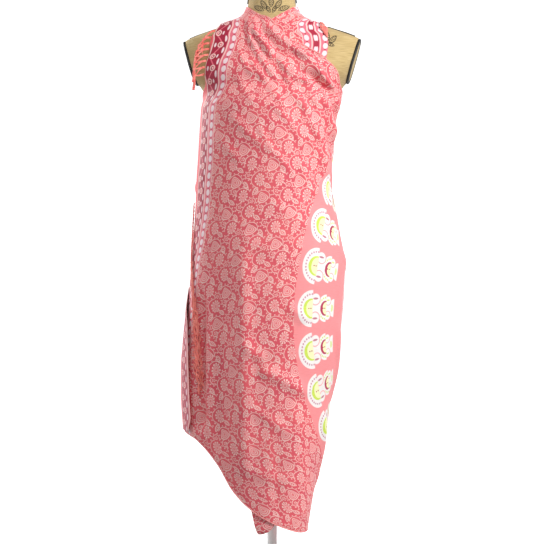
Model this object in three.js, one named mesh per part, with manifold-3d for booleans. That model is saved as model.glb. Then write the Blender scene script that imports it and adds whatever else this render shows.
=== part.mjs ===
// A sarong wound as a halter wrap on a limbless dress form with a round base.
// Millimetres, +Z up. The front faces -Y, and the origin is the middle of the base's underside.
// Angles go round the form from the front: 0 is the front, +90 degrees is +X, 180 is the back.
import * as THREE from 'three';
import { mergeVertices } from 'three/addons/utils/BufferGeometryUtils.js';
import Module from 'manifold-3d';

const wasm = await Module();
wasm.setup();

// Cloth
const clothThickness = 1.6;
const seamGap = 0.3;
const layerStep = 3.2;
const strapLift = 2.2;
const chestRow = 1270;
const bustTop = 1260;
const joinHeight = 720;
const strapEndAngle = 112;

// Dress form and stand
const neckTop = 1528;
const neckCapHeight = 9;
const torsoBottom = 795;
const plateThickness = 5;
const plateInset = 7;
const armPipingRadius = 3;
const seamPipingRadius = 1.5;
const poleRadius = 11;
const collarRadius = 26;
const collarHeight = 30;
const baseRadius = 165;
const baseHeight = 15;

const degree = Math.PI / 180;

// Half sizes of the dress form at each height
const formSections = [
  { z: 795, side: 144, front: 102, back: 110 },
  { z: 820, side: 150, front: 106, back: 116 },
  { z: 880, side: 153, front: 110, back: 120 },
  { z: 950, side: 146, front: 106, back: 111 },
  { z: 1020, side: 127, front: 96, back: 93 },
  { z: 1080, side: 113, front: 88, back: 82 },
  { z: 1130, side: 117, front: 98, back: 87 },
  { z: 1180, side: 127, front: 115, back: 96 },
  { z: 1225, side: 135, front: 121, back: 101 },
  { z: 1258, side: 143, front: 111, back: 102 },
  { z: 1285, side: 156, front: 102, back: 103 },
  { z: 1310, side: 181, front: 100, back: 100 },
  { z: 1340, side: 200, front: 89, back: 94 },
  { z: 1365, side: 203, front: 81, back: 88 },
  { z: 1386, side: 196, front: 76, back: 82 },
  { z: 1398, side: 172, front: 73, back: 79 },
  { z: 1410, side: 137, front: 70, back: 76 },
  { z: 1422, side: 102, front: 66, back: 72 },
  { z: 1434, side: 74, front: 61, back: 68 },
  { z: 1448, side: 59, front: 57, back: 64 },
  { z: 1470, side: 52, front: 52, back: 58 },
  { z: 1500, side: 49.5, front: 49, back: 55 },
  { z: 1528, side: 49, front: 48, back: 54 },
];

// Half sizes of the hung cloth at each height, from the middle to its inside
const clothSections = [
  { z: 290, left: 95, right: 73, front: 95, back: 88 },
  { z: 378, left: 132, right: 87, front: 104, back: 97 },
  { z: 442, left: 160, right: 98, front: 110, back: 104 },
  { z: 510, left: 186, right: 114, front: 117, back: 112 },
  { z: 543, left: 193, right: 120, front: 120, back: 115 },
  { z: 613, left: 197, right: 129, front: 125, back: 121 },
  { z: 671, left: 197, right: 139, front: 128, back: 125 },
  { z: 726, left: 193, right: 146, front: 130, back: 128 },
  { z: 783, left: 187, right: 153, front: 131, back: 130 },
  { z: 838, left: 181, right: 157, front: 131, back: 130 },
  { z: 895, left: 177, right: 159, front: 129, back: 127 },
  { z: 965, left: 171, right: 148, front: 127, back: 119 },
  { z: 1027, left: 167, right: 137, front: 126, back: 106 },
  { z: 1086, left: 165, right: 127, front: 127, back: 101 },
  { z: 1130, left: 162, right: 128, front: 129, back: 101 },
  { z: 1180, left: 159, right: 134, front: 131, back: 105 },
  { z: 1225, left: 156, right: 142, front: 130, back: 109 },
  { z: 1258, left: 153.5, right: 153, front: 123, back: 110 },
];

// Edges of the outer end: its border edge on the left, its upper edge, and its hem
const frontBorderEdge = [
  { z: 532, angle: -88 },
  { z: 613, angle: -90 },
  { z: 838, angle: -91 },
  { z: 1038, angle: -93 },
  { z: 1120, angle: -98 },
  { z: 1200, angle: -102 },
  { z: 1240, angle: -100 },
  { z: 1263, angle: -84.5 },
  { z: 1285, angle: -60.5 },
  { z: 1319, angle: -45.5 },
  { z: 1356, angle: -38.5 },
  { z: 1390, angle: -39 },
  { z: 1408, angle: -50 },
  { z: 1417, angle: -66 },
  { z: 1424, angle: -88 },
  { z: 1430, angle: -strapEndAngle },
];
const frontUpperEdge = [
  { z: 1270, angle: 90 },
  { z: 1284, angle: 71 },
  { z: 1318, angle: 46.5 },
  { z: 1336, angle: 35 },
  { z: 1364, angle: 20 },
  { z: 1377, angle: 11.5 },
  { z: 1395, angle: 7.5 },
  { z: 1416, angle: 3 },
  { z: 1433, angle: -16.5 },
  { z: 1445, angle: -38 },
  { z: 1456, angle: -61.5 },
  { z: 1462, angle: -100 },
];
const frontHem = [
  { angle: -93, z: 533 },
  { angle: -84, z: 532 },
  { angle: -60, z: 522 },
  { angle: -50, z: 505 },
  { angle: -39.5, z: 469 },
  { angle: -31.5, z: 417 },
  { angle: -20.5, z: 384 },
  { angle: -3, z: 356 },
  { angle: 12, z: 344 },
  { angle: 58, z: 320 },
  { angle: 90, z: 314 },
];

// Edges of the inner end: its upper edge on the left, its short edge on the right, and its hem
const innerUpperEdge = [
  { z: 1262, angle: -90 },
  { z: 1275, angle: -66 },
  { z: 1300, angle: -45 },
  { z: 1330, angle: -32 },
  { z: 1365, angle: -17 },
  { z: 1395, angle: -8 },
  { z: 1416, angle: -3 },
  { z: 1433, angle: 16.5 },
  { z: 1445, angle: 38 },
  { z: 1456, angle: 61.5 },
  { z: 1462, angle: 100 },
];
const innerShortEdge = [
  { z: 322, angle: -11 },
  { z: 341, angle: 9 },
  { z: 420, angle: 17 },
  { z: 600, angle: 22 },
  { z: 900, angle: 28 },
  { z: 1200, angle: 33 },
  { z: 1332, angle: 37.5 },
  { z: 1392, angle: 39 },
  { z: 1408, angle: 50 },
  { z: 1417, angle: 66 },
  { z: 1424, angle: 88 },
  { z: 1430, angle: strapEndAngle },
];
const innerHem = [
  { angle: -90, z: 575 },
  { angle: -60, z: 548 },
  { angle: -40, z: 502 },
  { angle: -25, z: 440 },
  { angle: -17, z: 392 },
  { angle: -14, z: 336 },
  { angle: -11, z: 322 },
];
const backHem = [
  { angle: 90, z: 314 },
  { angle: 135, z: 352 },
  { angle: 180, z: 440 },
  { angle: 225, z: 528 },
  { angle: 270, z: 575 },
];
const backUpperEdge = [
  { angle: 90, z: 1270 },
  { angle: 135, z: 1264 },
  { angle: 225, z: 1258 },
  { angle: 270, z: 1262 },
];

// Rows of the grids up to the chest line, which every layer shares above the join height,
// and rows above it, closer together where the straps turn over the shoulders
const hemRows = 6;
const bodyRows = [
  { from: 720, to: 1130, rows: 6 },
  { from: 1130, to: 1240, rows: 4 },
  { from: 1240, to: 1270, rows: 3 },
];
const strapRows = [
  { from: 1270, to: 1300, rows: 3 },
  { from: 1300, to: 1400, rows: 5 },
  { from: 1400, to: 1430, rows: 6 },
  { from: 1430, to: 1456, rows: 4 },
  { from: 1456, to: 1462, rows: 2 },
];

// Folds on the front, each from start by way of bend to end as seen from the front.
// The ridge lies beside that line, and side 1 is above it and -1 is below it.
const frontFolds = [
  { startX: -23, startZ: 1426, bendX: 6, bendZ: 1397, endX: 36, endZ: 1377, height: 2.5, width: 7, side: 1 },
  { startX: -44, startZ: 1411, bendX: 0, bendZ: 1375, endX: 52, endZ: 1324, height: 4, width: 9, side: 1 },
  { startX: -53, startZ: 1436, bendX: -25, bendZ: 1369, endX: 0, endZ: 1333, height: 3.5, width: 9, side: 1 },
  { startX: 48, startZ: 1329, bendX: 105, bendZ: 1287, endX: 127, endZ: 1250, height: 4.5, width: 10, side: 1 },
  { startX: 80, startZ: 1330, bendX: 132, bendZ: 1285, endX: 136, endZ: 1216, height: 3.5, width: 9, side: -1 },
  { startX: 53, startZ: 1293, bendX: 104, bendZ: 1233, endX: 122, endZ: 1154, height: 6, width: 11, side: 1 },
  { startX: 60, startZ: 1215, bendX: 95, bendZ: 1150, endX: 112, endZ: 1080, height: 5, width: 14, side: 1 },
  { startX: 77, startZ: 1123, bendX: 94, bendZ: 1083, endX: 110, endZ: 1040, height: 5, width: 12, side: -1 },
  { startX: -62, startZ: 730, bendX: -40, bendZ: 705, endX: -8, endZ: 682, height: 5, width: 13, side: 1 },
  { startX: -26, startZ: 666, bendX: 22, bendZ: 644, endX: 82, endZ: 606, height: 6, width: 14, side: 1 },
  { startX: 34, startZ: 800, bendX: 55, bendZ: 785, endX: 78, endZ: 764, height: 4, width: 13, side: 1 },
];
// Long vertical forms on the front: the deep valley beside the turned edge, then a hollow, then a crest
const frontPleats = [
  { x: -147, top: 862, fullFrom: 800, fullTo: 570, bottom: 525, height: -15, width: 10 },
  { x: -112, top: 1010, fullFrom: 900, fullTo: 560, bottom: 470, height: -5, width: 24 },
  { x: -66, top: 1040, fullFrom: 900, fullTo: 520, bottom: 400, height: 5, width: 20 },
  { x: 62, top: 620, fullFrom: 560, fullTo: 380, bottom: 300, height: 4, width: 18 },
];
// Folds on the back, as seen through from the front
const backFolds = [
  { startX: 128, startZ: 1235, bendX: 40, bendZ: 1130, endX: -60, endZ: 1070, height: 5, width: 15, side: 1 },
  { startX: -125, startZ: 1200, bendX: -50, bendZ: 1060, endX: 30, endZ: 985, height: 5, width: 16, side: 1 },
  { startX: 110, startZ: 800, bendX: 40, bendZ: 690, endX: -20, endZ: 520, height: 6, width: 18, side: 1 },
  { startX: -120, startZ: 860, bendX: -80, bendZ: 760, endX: -70, endZ: 610, height: 6, width: 18, side: 1 },
  { startX: 60, startZ: 560, bendX: 50, bendZ: 470, endX: 55, endZ: 390, height: 5, width: 16, side: 1 },
];

function clamp(value, low, high) {
  return Math.min(high, Math.max(low, value));
}

function smoothStep(low, high, value) {
  const t = clamp((value - low) / (high - low), 0, 1);
  return t * t * (3 - 2 * t);
}

function mix(a, b, t) {
  return a + (b - a) * t;
}

// A smooth curve through one column of a table, which never swings past its rows
function curveThrough(rows, along, column) {
  const x = rows.map((row) => row[along]);
  const y = rows.map((row) => row[column]);
  const last = x.length - 1;
  const slope = [];
  for (let i = 0; i < last; i += 1) {
    slope.push((y[i + 1] - y[i]) / (x[i + 1] - x[i]));
  }
  const tangent = x.map((_, i) => {
    const before = slope[Math.max(0, i - 1)];
    const after = slope[Math.min(last - 1, i)];
    return before * after <= 0 ? 0 : (2 * before * after) / (before + after);
  });
  return (value) => {
    const place = clamp(value, x[0], x[last]);
    let i = 0;
    while (i < last - 1 && place > x[i + 1]) {
      i += 1;
    }
    const span = x[i + 1] - x[i];
    const t = (place - x[i]) / span;
    const s = 1 - t;
    return (1 + 2 * t) * s * s * y[i] + t * s * s * span * tangent[i]
      + t * t * (3 - 2 * t) * y[i + 1] - t * t * s * span * tangent[i + 1];
  };
}

const formSide = curveThrough(formSections, 'z', 'side');
const formFront = curveThrough(formSections, 'z', 'front');
const formBack = curveThrough(formSections, 'z', 'back');
const clothLeft = curveThrough(clothSections, 'z', 'left');
const clothRight = curveThrough(clothSections, 'z', 'right');
const clothFront = curveThrough(clothSections, 'z', 'front');
const clothBack = curveThrough(clothSections, 'z', 'back');

function formPoint(angle, z) {
  const depth = Math.cos(angle) > 0 ? formFront(z) : formBack(z);
  return new THREE.Vector3(formSide(z) * Math.sin(angle), -depth * Math.cos(angle), z);
}

function normalAt(surface, angle, z) {
  const turn = 0.006;
  const rise = 0.8;
  const across = surface(angle + turn, z).sub(surface(angle - turn, z));
  const up = surface(angle, z + rise).sub(surface(angle, z - rise));
  return across.cross(up).normalize();
}

// How far the outer layer lies above the form: two layers on the chest, one on the straps
function layersBelow(z) {
  return 1 - smoothStep(1416, 1436, z);
}

function smoothCloth(angle, z) {
  const side = Math.sin(angle) > 0 ? clothRight(z) : clothLeft(z);
  const depth = Math.cos(angle) > 0 ? clothFront(z) : clothBack(z);
  const hung = new THREE.Vector3(side * Math.sin(angle), -depth * Math.cos(angle), z);
  const lift = strapLift + layerStep * layersBelow(z);
  const lying = formPoint(angle, z).addScaledVector(normalAt(formPoint, angle, z), lift);
  return hung.lerp(lying, smoothStep(bustTop - 20, bustTop + 20, z));
}

// Points along a fold's line, with the direction of the line at each
function foldLine(fold) {
  const start = new THREE.Vector2(fold.startX, fold.startZ);
  const bend = new THREE.Vector2(fold.bendX, fold.bendZ);
  const end = new THREE.Vector2(fold.endX, fold.endZ);
  return new THREE.SplineCurve([start, bend, end]).getPoints(16);
}

function foldRise(fold, line, x, z) {
  let nearest = Infinity;
  let offset = 0;
  let along = 0;
  for (let i = 0; i < line.length - 1; i += 1) {
    const stepX = line[i + 1].x - line[i].x;
    const stepZ = line[i + 1].y - line[i].y;
    const toX = x - line[i].x;
    const toZ = z - line[i].y;
    const t = clamp((toX * stepX + toZ * stepZ) / (stepX * stepX + stepZ * stepZ), 0, 1);
    const away = Math.hypot(toX - t * stepX, toZ - t * stepZ);
    if (away < nearest) {
      nearest = away;
      along = (i + t) / (line.length - 1);
      offset = Math.sign(stepX * toZ - stepZ * toX) * away;
    }
  }
  const fade = smoothStep(0, 0.25, along) * (1 - smoothStep(0.75, 1, along));
  const fromRidge = (offset * fold.side - fold.width) / fold.width;
  return fold.height * fade * Math.exp(-fromRidge * fromRidge);
}

function pleatRise(pleat, x, z) {
  const fade = smoothStep(pleat.bottom, pleat.fullTo, z) * (1 - smoothStep(pleat.fullFrom, pleat.top, z));
  const away = (x - pleat.x) / pleat.width;
  return pleat.height * fade * Math.exp(-away * away);
}

const frontLines = frontFolds.map(foldLine);
const backLines = backFolds.map(foldLine);

function clothRise(point, angle) {
  const isFront = Math.cos(angle) > 0;
  const folds = isFront ? frontFolds : backFolds;
  const lines = isFront ? frontLines : backLines;
  let rise = 0;
  folds.forEach((fold, i) => {
    rise += foldRise(fold, lines[i], point.x, point.z);
  });
  if (isFront) {
    frontPleats.forEach((pleat) => {
      rise += pleatRise(pleat, point.x, point.z);
    });
  }
  return rise * smoothStep(0.05, 0.3, Math.abs(Math.cos(angle)));
}

function drapedCloth(angle, z) {
  const point = smoothCloth(angle, z);
  return point.addScaledVector(normalAt(smoothCloth, angle, z), clothRise(point, angle));
}

// The inner end lies smooth under the front, and gives way only to its deep forms
function hiddenCloth(angle, z) {
  const point = smoothCloth(angle, z);
  const deeper = 1.3;
  const wider = 2.2;
  let rise = 0;
  frontPleats.filter((pleat) => pleat.height < 0).forEach((pleat) => {
    const { height, width } = pleat;
    rise += pleatRise({ ...pleat, height: height * deeper, width: width * wider }, point.x, z);
  });
  rise *= smoothStep(0.05, 0.3, Math.abs(Math.cos(angle)));
  return point.addScaledVector(normalAt(smoothCloth, angle, z), rise - layerStep * layersBelow(z));
}

function onCloth(angle, z, offset) {
  return drapedCloth(angle, z).addScaledVector(normalAt(drapedCloth, angle, z), offset);
}

function onForm(angle, z, offset) {
  return formPoint(angle, z).addScaledVector(normalAt(formPoint, angle, z), offset);
}

// A closed wall between an inside and an outside grid of points
function wall(columns, rows, inside, outside) {
  const position = [];
  const index = [];
  [inside, outside].forEach((face) => {
    for (let j = 0; j <= rows; j += 1) {
      for (let i = 0; i <= columns; i += 1) {
        position.push(...face(i / columns, j / rows, i, j).toArray());
      }
    }
  });
  const faceSize = (columns + 1) * (rows + 1);
  const inner = (i, j) => j * (columns + 1) + i;
  const outer = (i, j) => faceSize + inner(i, j);
  const quad = (a, b, c, d) => index.push(a, b, c, a, c, d);
  for (let j = 0; j < rows; j += 1) {
    for (let i = 0; i < columns; i += 1) {
      quad(outer(i, j), outer(i + 1, j), outer(i + 1, j + 1), outer(i, j + 1));
      quad(inner(i, j), inner(i, j + 1), inner(i + 1, j + 1), inner(i + 1, j));
    }
  }
  for (let i = 0; i < columns; i += 1) {
    quad(inner(i, 0), inner(i + 1, 0), outer(i + 1, 0), outer(i, 0));
    quad(inner(i + 1, rows), inner(i, rows), outer(i, rows), outer(i + 1, rows));
  }
  for (let j = 0; j < rows; j += 1) {
    quad(inner(0, j), outer(0, j), outer(0, j + 1), inner(0, j + 1));
    quad(outer(columns, j), inner(columns, j), inner(columns, j + 1), outer(columns, j + 1));
  }
  const geometry = new THREE.BufferGeometry();
  geometry.setAttribute('position', new THREE.Float32BufferAttribute(position, 3));
  geometry.setIndex(index);
  return geometry;
}

// Rings of points joined into one solid, closed at both ends
function loft(sides, stations, pointAt) {
  const position = [];
  const index = [];
  for (let j = 0; j <= stations; j += 1) {
    for (let i = 0; i < sides; i += 1) {
      position.push(...pointAt(i / sides, j / stations, j).toArray());
    }
  }
  const at = (i, j) => j * sides + (i % sides);
  for (let j = 0; j < stations; j += 1) {
    for (let i = 0; i < sides; i += 1) {
      index.push(at(i, j), at(i + 1, j), at(i + 1, j + 1), at(i, j), at(i + 1, j + 1), at(i, j + 1));
    }
  }
  [0, stations].forEach((j) => {
    const middle = new THREE.Vector3();
    for (let i = 0; i < sides; i += 1) {
      middle.add(new THREE.Vector3().fromArray(position, at(i, j) * 3));
    }
    const centre = position.length / 3;
    position.push(...middle.divideScalar(sides).toArray());
    for (let i = 0; i < sides; i += 1) {
      if (j === 0) {
        index.push(centre, at(i + 1, j), at(i, j));
      } else {
        index.push(centre, at(i, j), at(i + 1, j));
      }
    }
  });
  const geometry = new THREE.BufferGeometry();
  geometry.setAttribute('position', new THREE.Float32BufferAttribute(position, 3));
  geometry.setIndex(index);
  return geometry;
}

function toSolid(geometry) {
  const bare = geometry.clone();
  bare.deleteAttribute('normal');
  bare.deleteAttribute('uv');
  const merged = mergeVertices(bare, 1e-4);
  return new wasm.Manifold(new wasm.Mesh({
    numProp: 3,
    vertProperties: new Float32Array(merged.attributes.position.array),
    triVerts: new Uint32Array(merged.index.array),
  }));
}

function fromSolid(solid) {
  const mesh = solid.getMesh();
  const geometry = new THREE.BufferGeometry();
  geometry.setAttribute('position', new THREE.Float32BufferAttribute(mesh.vertProperties, 3));
  geometry.setIndex(new THREE.Uint32BufferAttribute(mesh.triVerts, 1));
  return geometry;
}

function tubeAlong(points, radius, sides, steps, closed = false) {
  const section = new THREE.Shape();
  for (let i = 0; i < sides; i += 1) {
    const turn = (2 * Math.PI * i) / sides;
    const x = radius * Math.cos(turn);
    const y = radius * Math.sin(turn);
    if (i === 0) {
      section.moveTo(x, y);
    } else {
      section.lineTo(x, y);
    }
  }
  const extrudePath = new THREE.CatmullRomCurve3(points, closed);
  return new THREE.ExtrudeGeometry(section, { steps, extrudePath, bevelEnabled: false });
}

// Materials
const printedCloth = new THREE.MeshStandardMaterial({ color: 0xe8646e, roughness: 0.85 });
const borderReverse = new THREE.MeshStandardMaterial({ color: 0xb0485a, roughness: 0.85 });
const fringeYarn = new THREE.MeshStandardMaterial({ color: 0xf0726a, roughness: 0.8 });
const linen = new THREE.MeshStandardMaterial({ color: 0xc3a878, roughness: 0.9 });
const blackPiping = new THREE.MeshStandardMaterial({ color: 0x1c1a18, roughness: 0.6 });
const turnedWood = new THREE.MeshStandardMaterial({ color: 0x6b4a30, roughness: 0.5 });
const whiteSteel = new THREE.MeshStandardMaterial({ color: 0xededea, roughness: 0.4 });

const group = new THREE.Group();

function addPiece(name, geometry, material) {
  const mesh = new THREE.Mesh(geometry, material);
  mesh.name = name;
  group.add(mesh);
}

function rowHeights(bands) {
  return bands.flatMap(({ from, to, rows }) => (
    Array.from({ length: rows }, (_, i) => mix(from, to, (i + 1) / rows))
  ));
}

const levelHeights = rowHeights([...bodyRows, ...strapRows]);
const endRows = hemRows + levelHeights.length;

// One end of the cloth: rows follow the hem up to the join height and lie level above it
function endPlacer({ leftEdge, rightEdge, hem }) {
  return (u, j) => {
    if (j <= hemRows) {
      const s = j / hemRows;
      const leftZ = mix(hem(leftEdge(0)), joinHeight, s);
      const rightZ = mix(hem(rightEdge(0)), joinHeight, s);
      const angle = mix(leftEdge(leftZ), rightEdge(rightZ), u);
      return { angle: angle * degree, z: mix(hem(angle), joinHeight, s) };
    }
    const z = levelHeights[j - hemRows - 1];
    return { angle: mix(leftEdge(z), rightEdge(z), u) * degree, z };
  };
}

function frontWrap() {
  const columns = 32;
  const seam = 90 - 0.08;
  const upperEdge = curveThrough(frontUpperEdge, 'z', 'angle');
  const place = endPlacer({
    leftEdge: curveThrough(frontBorderEdge, 'z', 'angle'),
    rightEdge: (z) => Math.min(seam, upperEdge(z)),
    hem: curveThrough(frontHem, 'angle', 'z'),
  });
  const face = (rise) => (u, v, i, j) => {
    const { angle, z } = place(u, j);
    return onCloth(angle, z, rise);
  };
  addPiece('front_wrap', wall(columns, endRows, face(0), face(clothThickness)), printedCloth);
}

function innerWrap() {
  const columns = 14;
  const seam = -90 + 0.08;
  const upperEdge = curveThrough(innerUpperEdge, 'z', 'angle');
  const place = endPlacer({
    leftEdge: (z) => Math.max(seam, upperEdge(z)),
    rightEdge: curveThrough(innerShortEdge, 'z', 'angle'),
    hem: curveThrough(innerHem, 'angle', 'z'),
  });
  const face = (rise) => (u, v, i, j) => {
    const { angle, z } = place(u, j);
    return hiddenCloth(angle, z).addScaledVector(normalAt(hiddenCloth, angle, z), rise);
  };
  addPiece('inner_wrap', wall(columns, endRows, face(0), face(clothThickness)), printedCloth);
}

function backWrap() {
  const columns = 16;
  const levels = rowHeights(bodyRows);
  const rows = hemRows + levels.length;
  const hem = curveThrough(backHem, 'angle', 'z');
  const upperEdge = curveThrough(backUpperEdge, 'angle', 'z');
  const face = (rise) => (u, v, i, j) => {
    const angle = mix(90.08, 269.92, u);
    const level = j > hemRows ? levels[j - hemRows - 1] : mix(hem(angle), joinHeight, j / hemRows);
    const z = level - (chestRow - upperEdge(angle)) * smoothStep(bodyRows[1].from, chestRow, level);
    return onCloth(angle * degree, z, rise - layerStep * u);
  };
  addPiece('back_wrap', wall(columns, rows, face(0), face(clothThickness)), printedCloth);
}

// The border strip that folds back on the front, widest in its middle
const turnedEdgeWidths = [
  { z: 536, angle: -62 },
  { z: 571, angle: -58 },
  { z: 660, angle: -59 },
  { z: 754, angle: -64 },
  { z: 815, angle: -76 },
  { z: 846, angle: -88 },
];

function turnedEdge() {
  const freeEdge = curveThrough(turnedEdgeWidths, 'z', 'angle');
  const clearance = 0.8;
  const freeEdgeLift = 6;
  const face = (rise) => (u, v) => {
    const z = mix(536, 846, v);
    const angle = mix(-93, freeEdge(z), u);
    const lift = clothThickness + clearance + freeEdgeLift * u * u * (1 - smoothStep(0.8, 1, v));
    return onCloth(angle * degree, z, lift + rise);
  };
  addPiece('turned_edge', wall(5, 12, face(0), face(clothThickness)), borderReverse);
}

// A knotted fringe: a narrow backing strip parted from the cloth, and strands that hang from it
function fringe(name, { strip, strands }) {
  let solid = toSolid(strip);
  strands.forEach((points) => {
    solid = solid.add(toSolid(tubeAlong(points, 1.1, 3, 3)));
  });
  addPiece(name, fromSolid(solid), fringeYarn);
}

function fringeOnShoulder() {
  const edge = curveThrough(frontBorderEdge, 'z', 'angle');
  const topZ = 1400;
  const bottomZ = 1306;
  const count = 13;
  const stripAngle = 1.3;
  const gapAngle = 0.7;
  const face = (rise) => (u, v) => {
    const z = mix(bottomZ, topZ, v);
    const angle = edge(z) - gapAngle - stripAngle * (1 - u);
    return onCloth(angle * degree, z, rise);
  };
  const strands = [];
  for (let i = 0; i < count; i += 1) {
    const z = mix(bottomZ + 3, topZ - 3, i / (count - 1));
    const root = onCloth((edge(z) - gapAngle - stripAngle / 2) * degree, z, clothThickness / 2);
    const reach = 20 + 10 * Math.sin((Math.PI * i) / (count - 1));
    const fall = 34 + 10 * (i / (count - 1));
    strands.push([
      root,
      root.clone().add(new THREE.Vector3(-reach * 0.35, -3, -4)),
      root.clone().add(new THREE.Vector3(-reach * 0.8, -5, -fall * 0.5)),
      root.clone().add(new THREE.Vector3(-reach, -4, -fall)),
    ]);
  }
  fringe('fringe_shoulder', { strip: wall(1, 8, face(0.2), face(clothThickness + 0.2)), strands });
}

// Where the side fringe lies on the front, from the underarm down to the foot of the turned edge
const sideFringePath = [
  { z: 600, angle: -53.5 },
  { z: 640, angle: -54 },
  { z: 740, angle: -58 },
  { z: 840, angle: -67 },
  { z: 950, angle: -79 },
  { z: 1038, angle: -84 },
];

function fringeOnSide() {
  const path = curveThrough(sideFringePath, 'z', 'angle');
  const topZ = 1036;
  const bottomZ = 652;
  const count = 20;
  const lanes = 3;
  const laneWidth = 3.4;
  const strandLength = 40;
  const backing = clothThickness + 1.2;
  const stripAngle = 0.9;
  const face = (rise) => (u, v) => {
    const z = mix(bottomZ, topZ, v);
    return onCloth((path(z) - stripAngle * (1 - u)) * degree, z, backing + rise);
  };
  const strands = [];
  for (let i = 0; i < count; i += 1) {
    const z = mix(bottomZ + 6, topZ - 4, i / (count - 1));
    const turn = (laneWidth * (1 + (i % lanes))) / 2.6;
    const drop = (t) => z - strandLength * t;
    const at = (t, side, lift) => onCloth((path(drop(t)) + side) * degree, drop(t), backing + lift);
    strands.push([
      at(0, -stripAngle / 2, 0.9),
      at(0.12, turn * 0.6, 2.6),
      at(0.5, turn, 2.2),
      at(1, turn, 2),
    ]);
  }
  fringe('fringe_side', { strip: wall(1, 16, face(0), face(1.8)), strands });
}

function fringeOnStrap() {
  const edge = curveThrough(innerShortEdge, 'z', 'angle');
  const topZ = 1421;
  const bottomZ = 1402;
  const count = 8;
  const gapAngle = 2.2;
  const stripAngle = 2;
  const face = (rise) => (u, v) => {
    const z = mix(bottomZ, topZ, v);
    return onForm((edge(z) + gapAngle + stripAngle * u) * degree, z, rise);
  };
  const strands = [];
  for (let i = 0; i < count; i += 1) {
    const z = mix(bottomZ + 1.5, topZ - 1.5, i / (count - 1));
    const root = (edge(z) + gapAngle + stripAngle * 0.6) * degree;
    const rootX = formSide(z) * Math.sin(root);
    const at = (down, sideways, lift) => (
      onForm(Math.asin((rootX + sideways) / formSide(z - down)), z - down, lift)
    );
    strands.push([
      onForm(root, z, 2.2),
      at(2, 1.5, 6.5),
      at(12, 3, 7),
      at(22, 4, 6.5),
    ]);
  }
  fringe('fringe_strap', { strip: wall(1, 6, face(strapLift), face(strapLift + 1.8)), strands });
}

// The knot at the nape, the gathered bands that lead to it, and its two hanging ends
function neckTie() {
  const knotZ = 1448;
  const knotHalf = new THREE.Vector3(25, 15, 20);
  const knotY = formBack(knotZ) + knotHalf.y + 1.5;
  const knotBall = (grow) => {
    const ball = new THREE.SphereGeometry(1, 14, 10);
    ball.scale(knotHalf.x + grow, knotHalf.y + grow, knotHalf.z + grow);
    return ball.translate(0, knotY, knotZ);
  };
  const cutter = toSolid(knotBall(seamGap));
  addPiece('neck_knot', fromSolid(toSolid(knotBall(0))), printedCloth);

  [-1, 1].forEach((side) => {
    const name = side < 0 ? 'left' : 'right';
    const pointAt = (turn, t) => {
      const angle = side * mix(strapEndAngle + 1, 168, t);
      const middleZ = mix(1447.5, knotZ, t);
      const halfHeight = mix(14.5, 9, smoothStep(0, 0.8, t));
      const halfDepth = mix(3, 7, smoothStep(0, 0.7, t));
      const round = 2 * Math.PI * turn;
      const z = middleZ + halfHeight * Math.sin(round);
      return onForm(angle * degree, z, strapLift + halfDepth * (1 - side * Math.cos(round)));
    };
    const band = toSolid(loft(10, 8, (turn, t) => pointAt(turn, t)));
    addPiece(`tie_band_${name}`, fromSolid(band.subtract(cutter)), printedCloth);

    const endTop = knotZ - 6;
    const endBottom = side < 0 ? 1296 : 1310;
    const face = (rise) => (u, v) => {
      const z = mix(endBottom, endTop, v);
      const halfWidth = mix(11, 4, smoothStep(0.2, 1, v));
      const middle = 180 - side * mix(14, 6, v);
      const gathers = 2.5 * (1 + Math.sin(u * 4 * Math.PI)) * (0.4 + 0.6 * (1 - v));
      const nearKnot = 5 * smoothStep(0.7, 1, v);
      return onForm((middle + halfWidth * (2 * u - 1)) * degree, z, strapLift + gathers + nearKnot + rise);
    };
    const tail = toSolid(wall(8, 7, face(0), face(2)));
    addPiece(`tie_end_${name}`, fromSolid(tail.subtract(cutter)), printedCloth);
  });
}

// The arm plates stand on slanted cuts: half width of the cut at its lower and upper height
const armCut = { lowZ: 1285, lowX: 160, highZ: 1388, highX: 190 };

function armCutX(z) {
  return mix(armCut.lowX, armCut.highX, (z - armCut.lowZ) / (armCut.highZ - armCut.lowZ));
}

// The closed outline of the cut, drawn in by inset and moved out along the cut's own normal
function armOutline(side, inset, out) {
  const slope = Math.atan2(armCut.highX - armCut.lowX, armCut.highZ - armCut.lowZ);
  const heights = [];
  for (let z = armCut.lowZ - 10; z <= armCut.highZ + 10; z += 0.5) {
    if (armCutX(z) < formSide(z)) {
      heights.push(z);
    }
  }
  const low = heights[0];
  const high = heights[heights.length - 1];
  const count = 20;
  const points = [];
  for (let i = 0; i < count; i += 1) {
    const turn = (2 * Math.PI * i) / count;
    const z = (low + high) / 2 - ((high - low) / 2) * Math.cos(turn);
    const share = Math.min(1, armCutX(z) / formSide(z));
    const depth = Math.sin(turn) > 0 ? -formFront(z) : formBack(z);
    points.push(new THREE.Vector3(armCutX(z), depth * Math.sqrt(1 - share * share), z));
  }
  const centre = points.reduce((sum, point) => sum.add(point), new THREE.Vector3()).divideScalar(count);
  return points.map((point) => {
    const toEdge = point.clone().sub(centre);
    const drawn = point.addScaledVector(toEdge.normalize(), -inset);
    drawn.x += out * Math.cos(slope);
    drawn.z -= out * Math.sin(slope);
    drawn.x *= side;
    return drawn;
  });
}

function plateSolid(side) {
  const outline = [0, plateThickness].map((out) => armOutline(side, plateInset, out + seamGap));
  const ordered = side < 0 ? outline : outline.map((ring) => [...ring].reverse());
  return loft(ordered[0].length, 1, (turn, t, j) => ordered[j][Math.round(turn * ordered[0].length)]);
}

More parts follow.
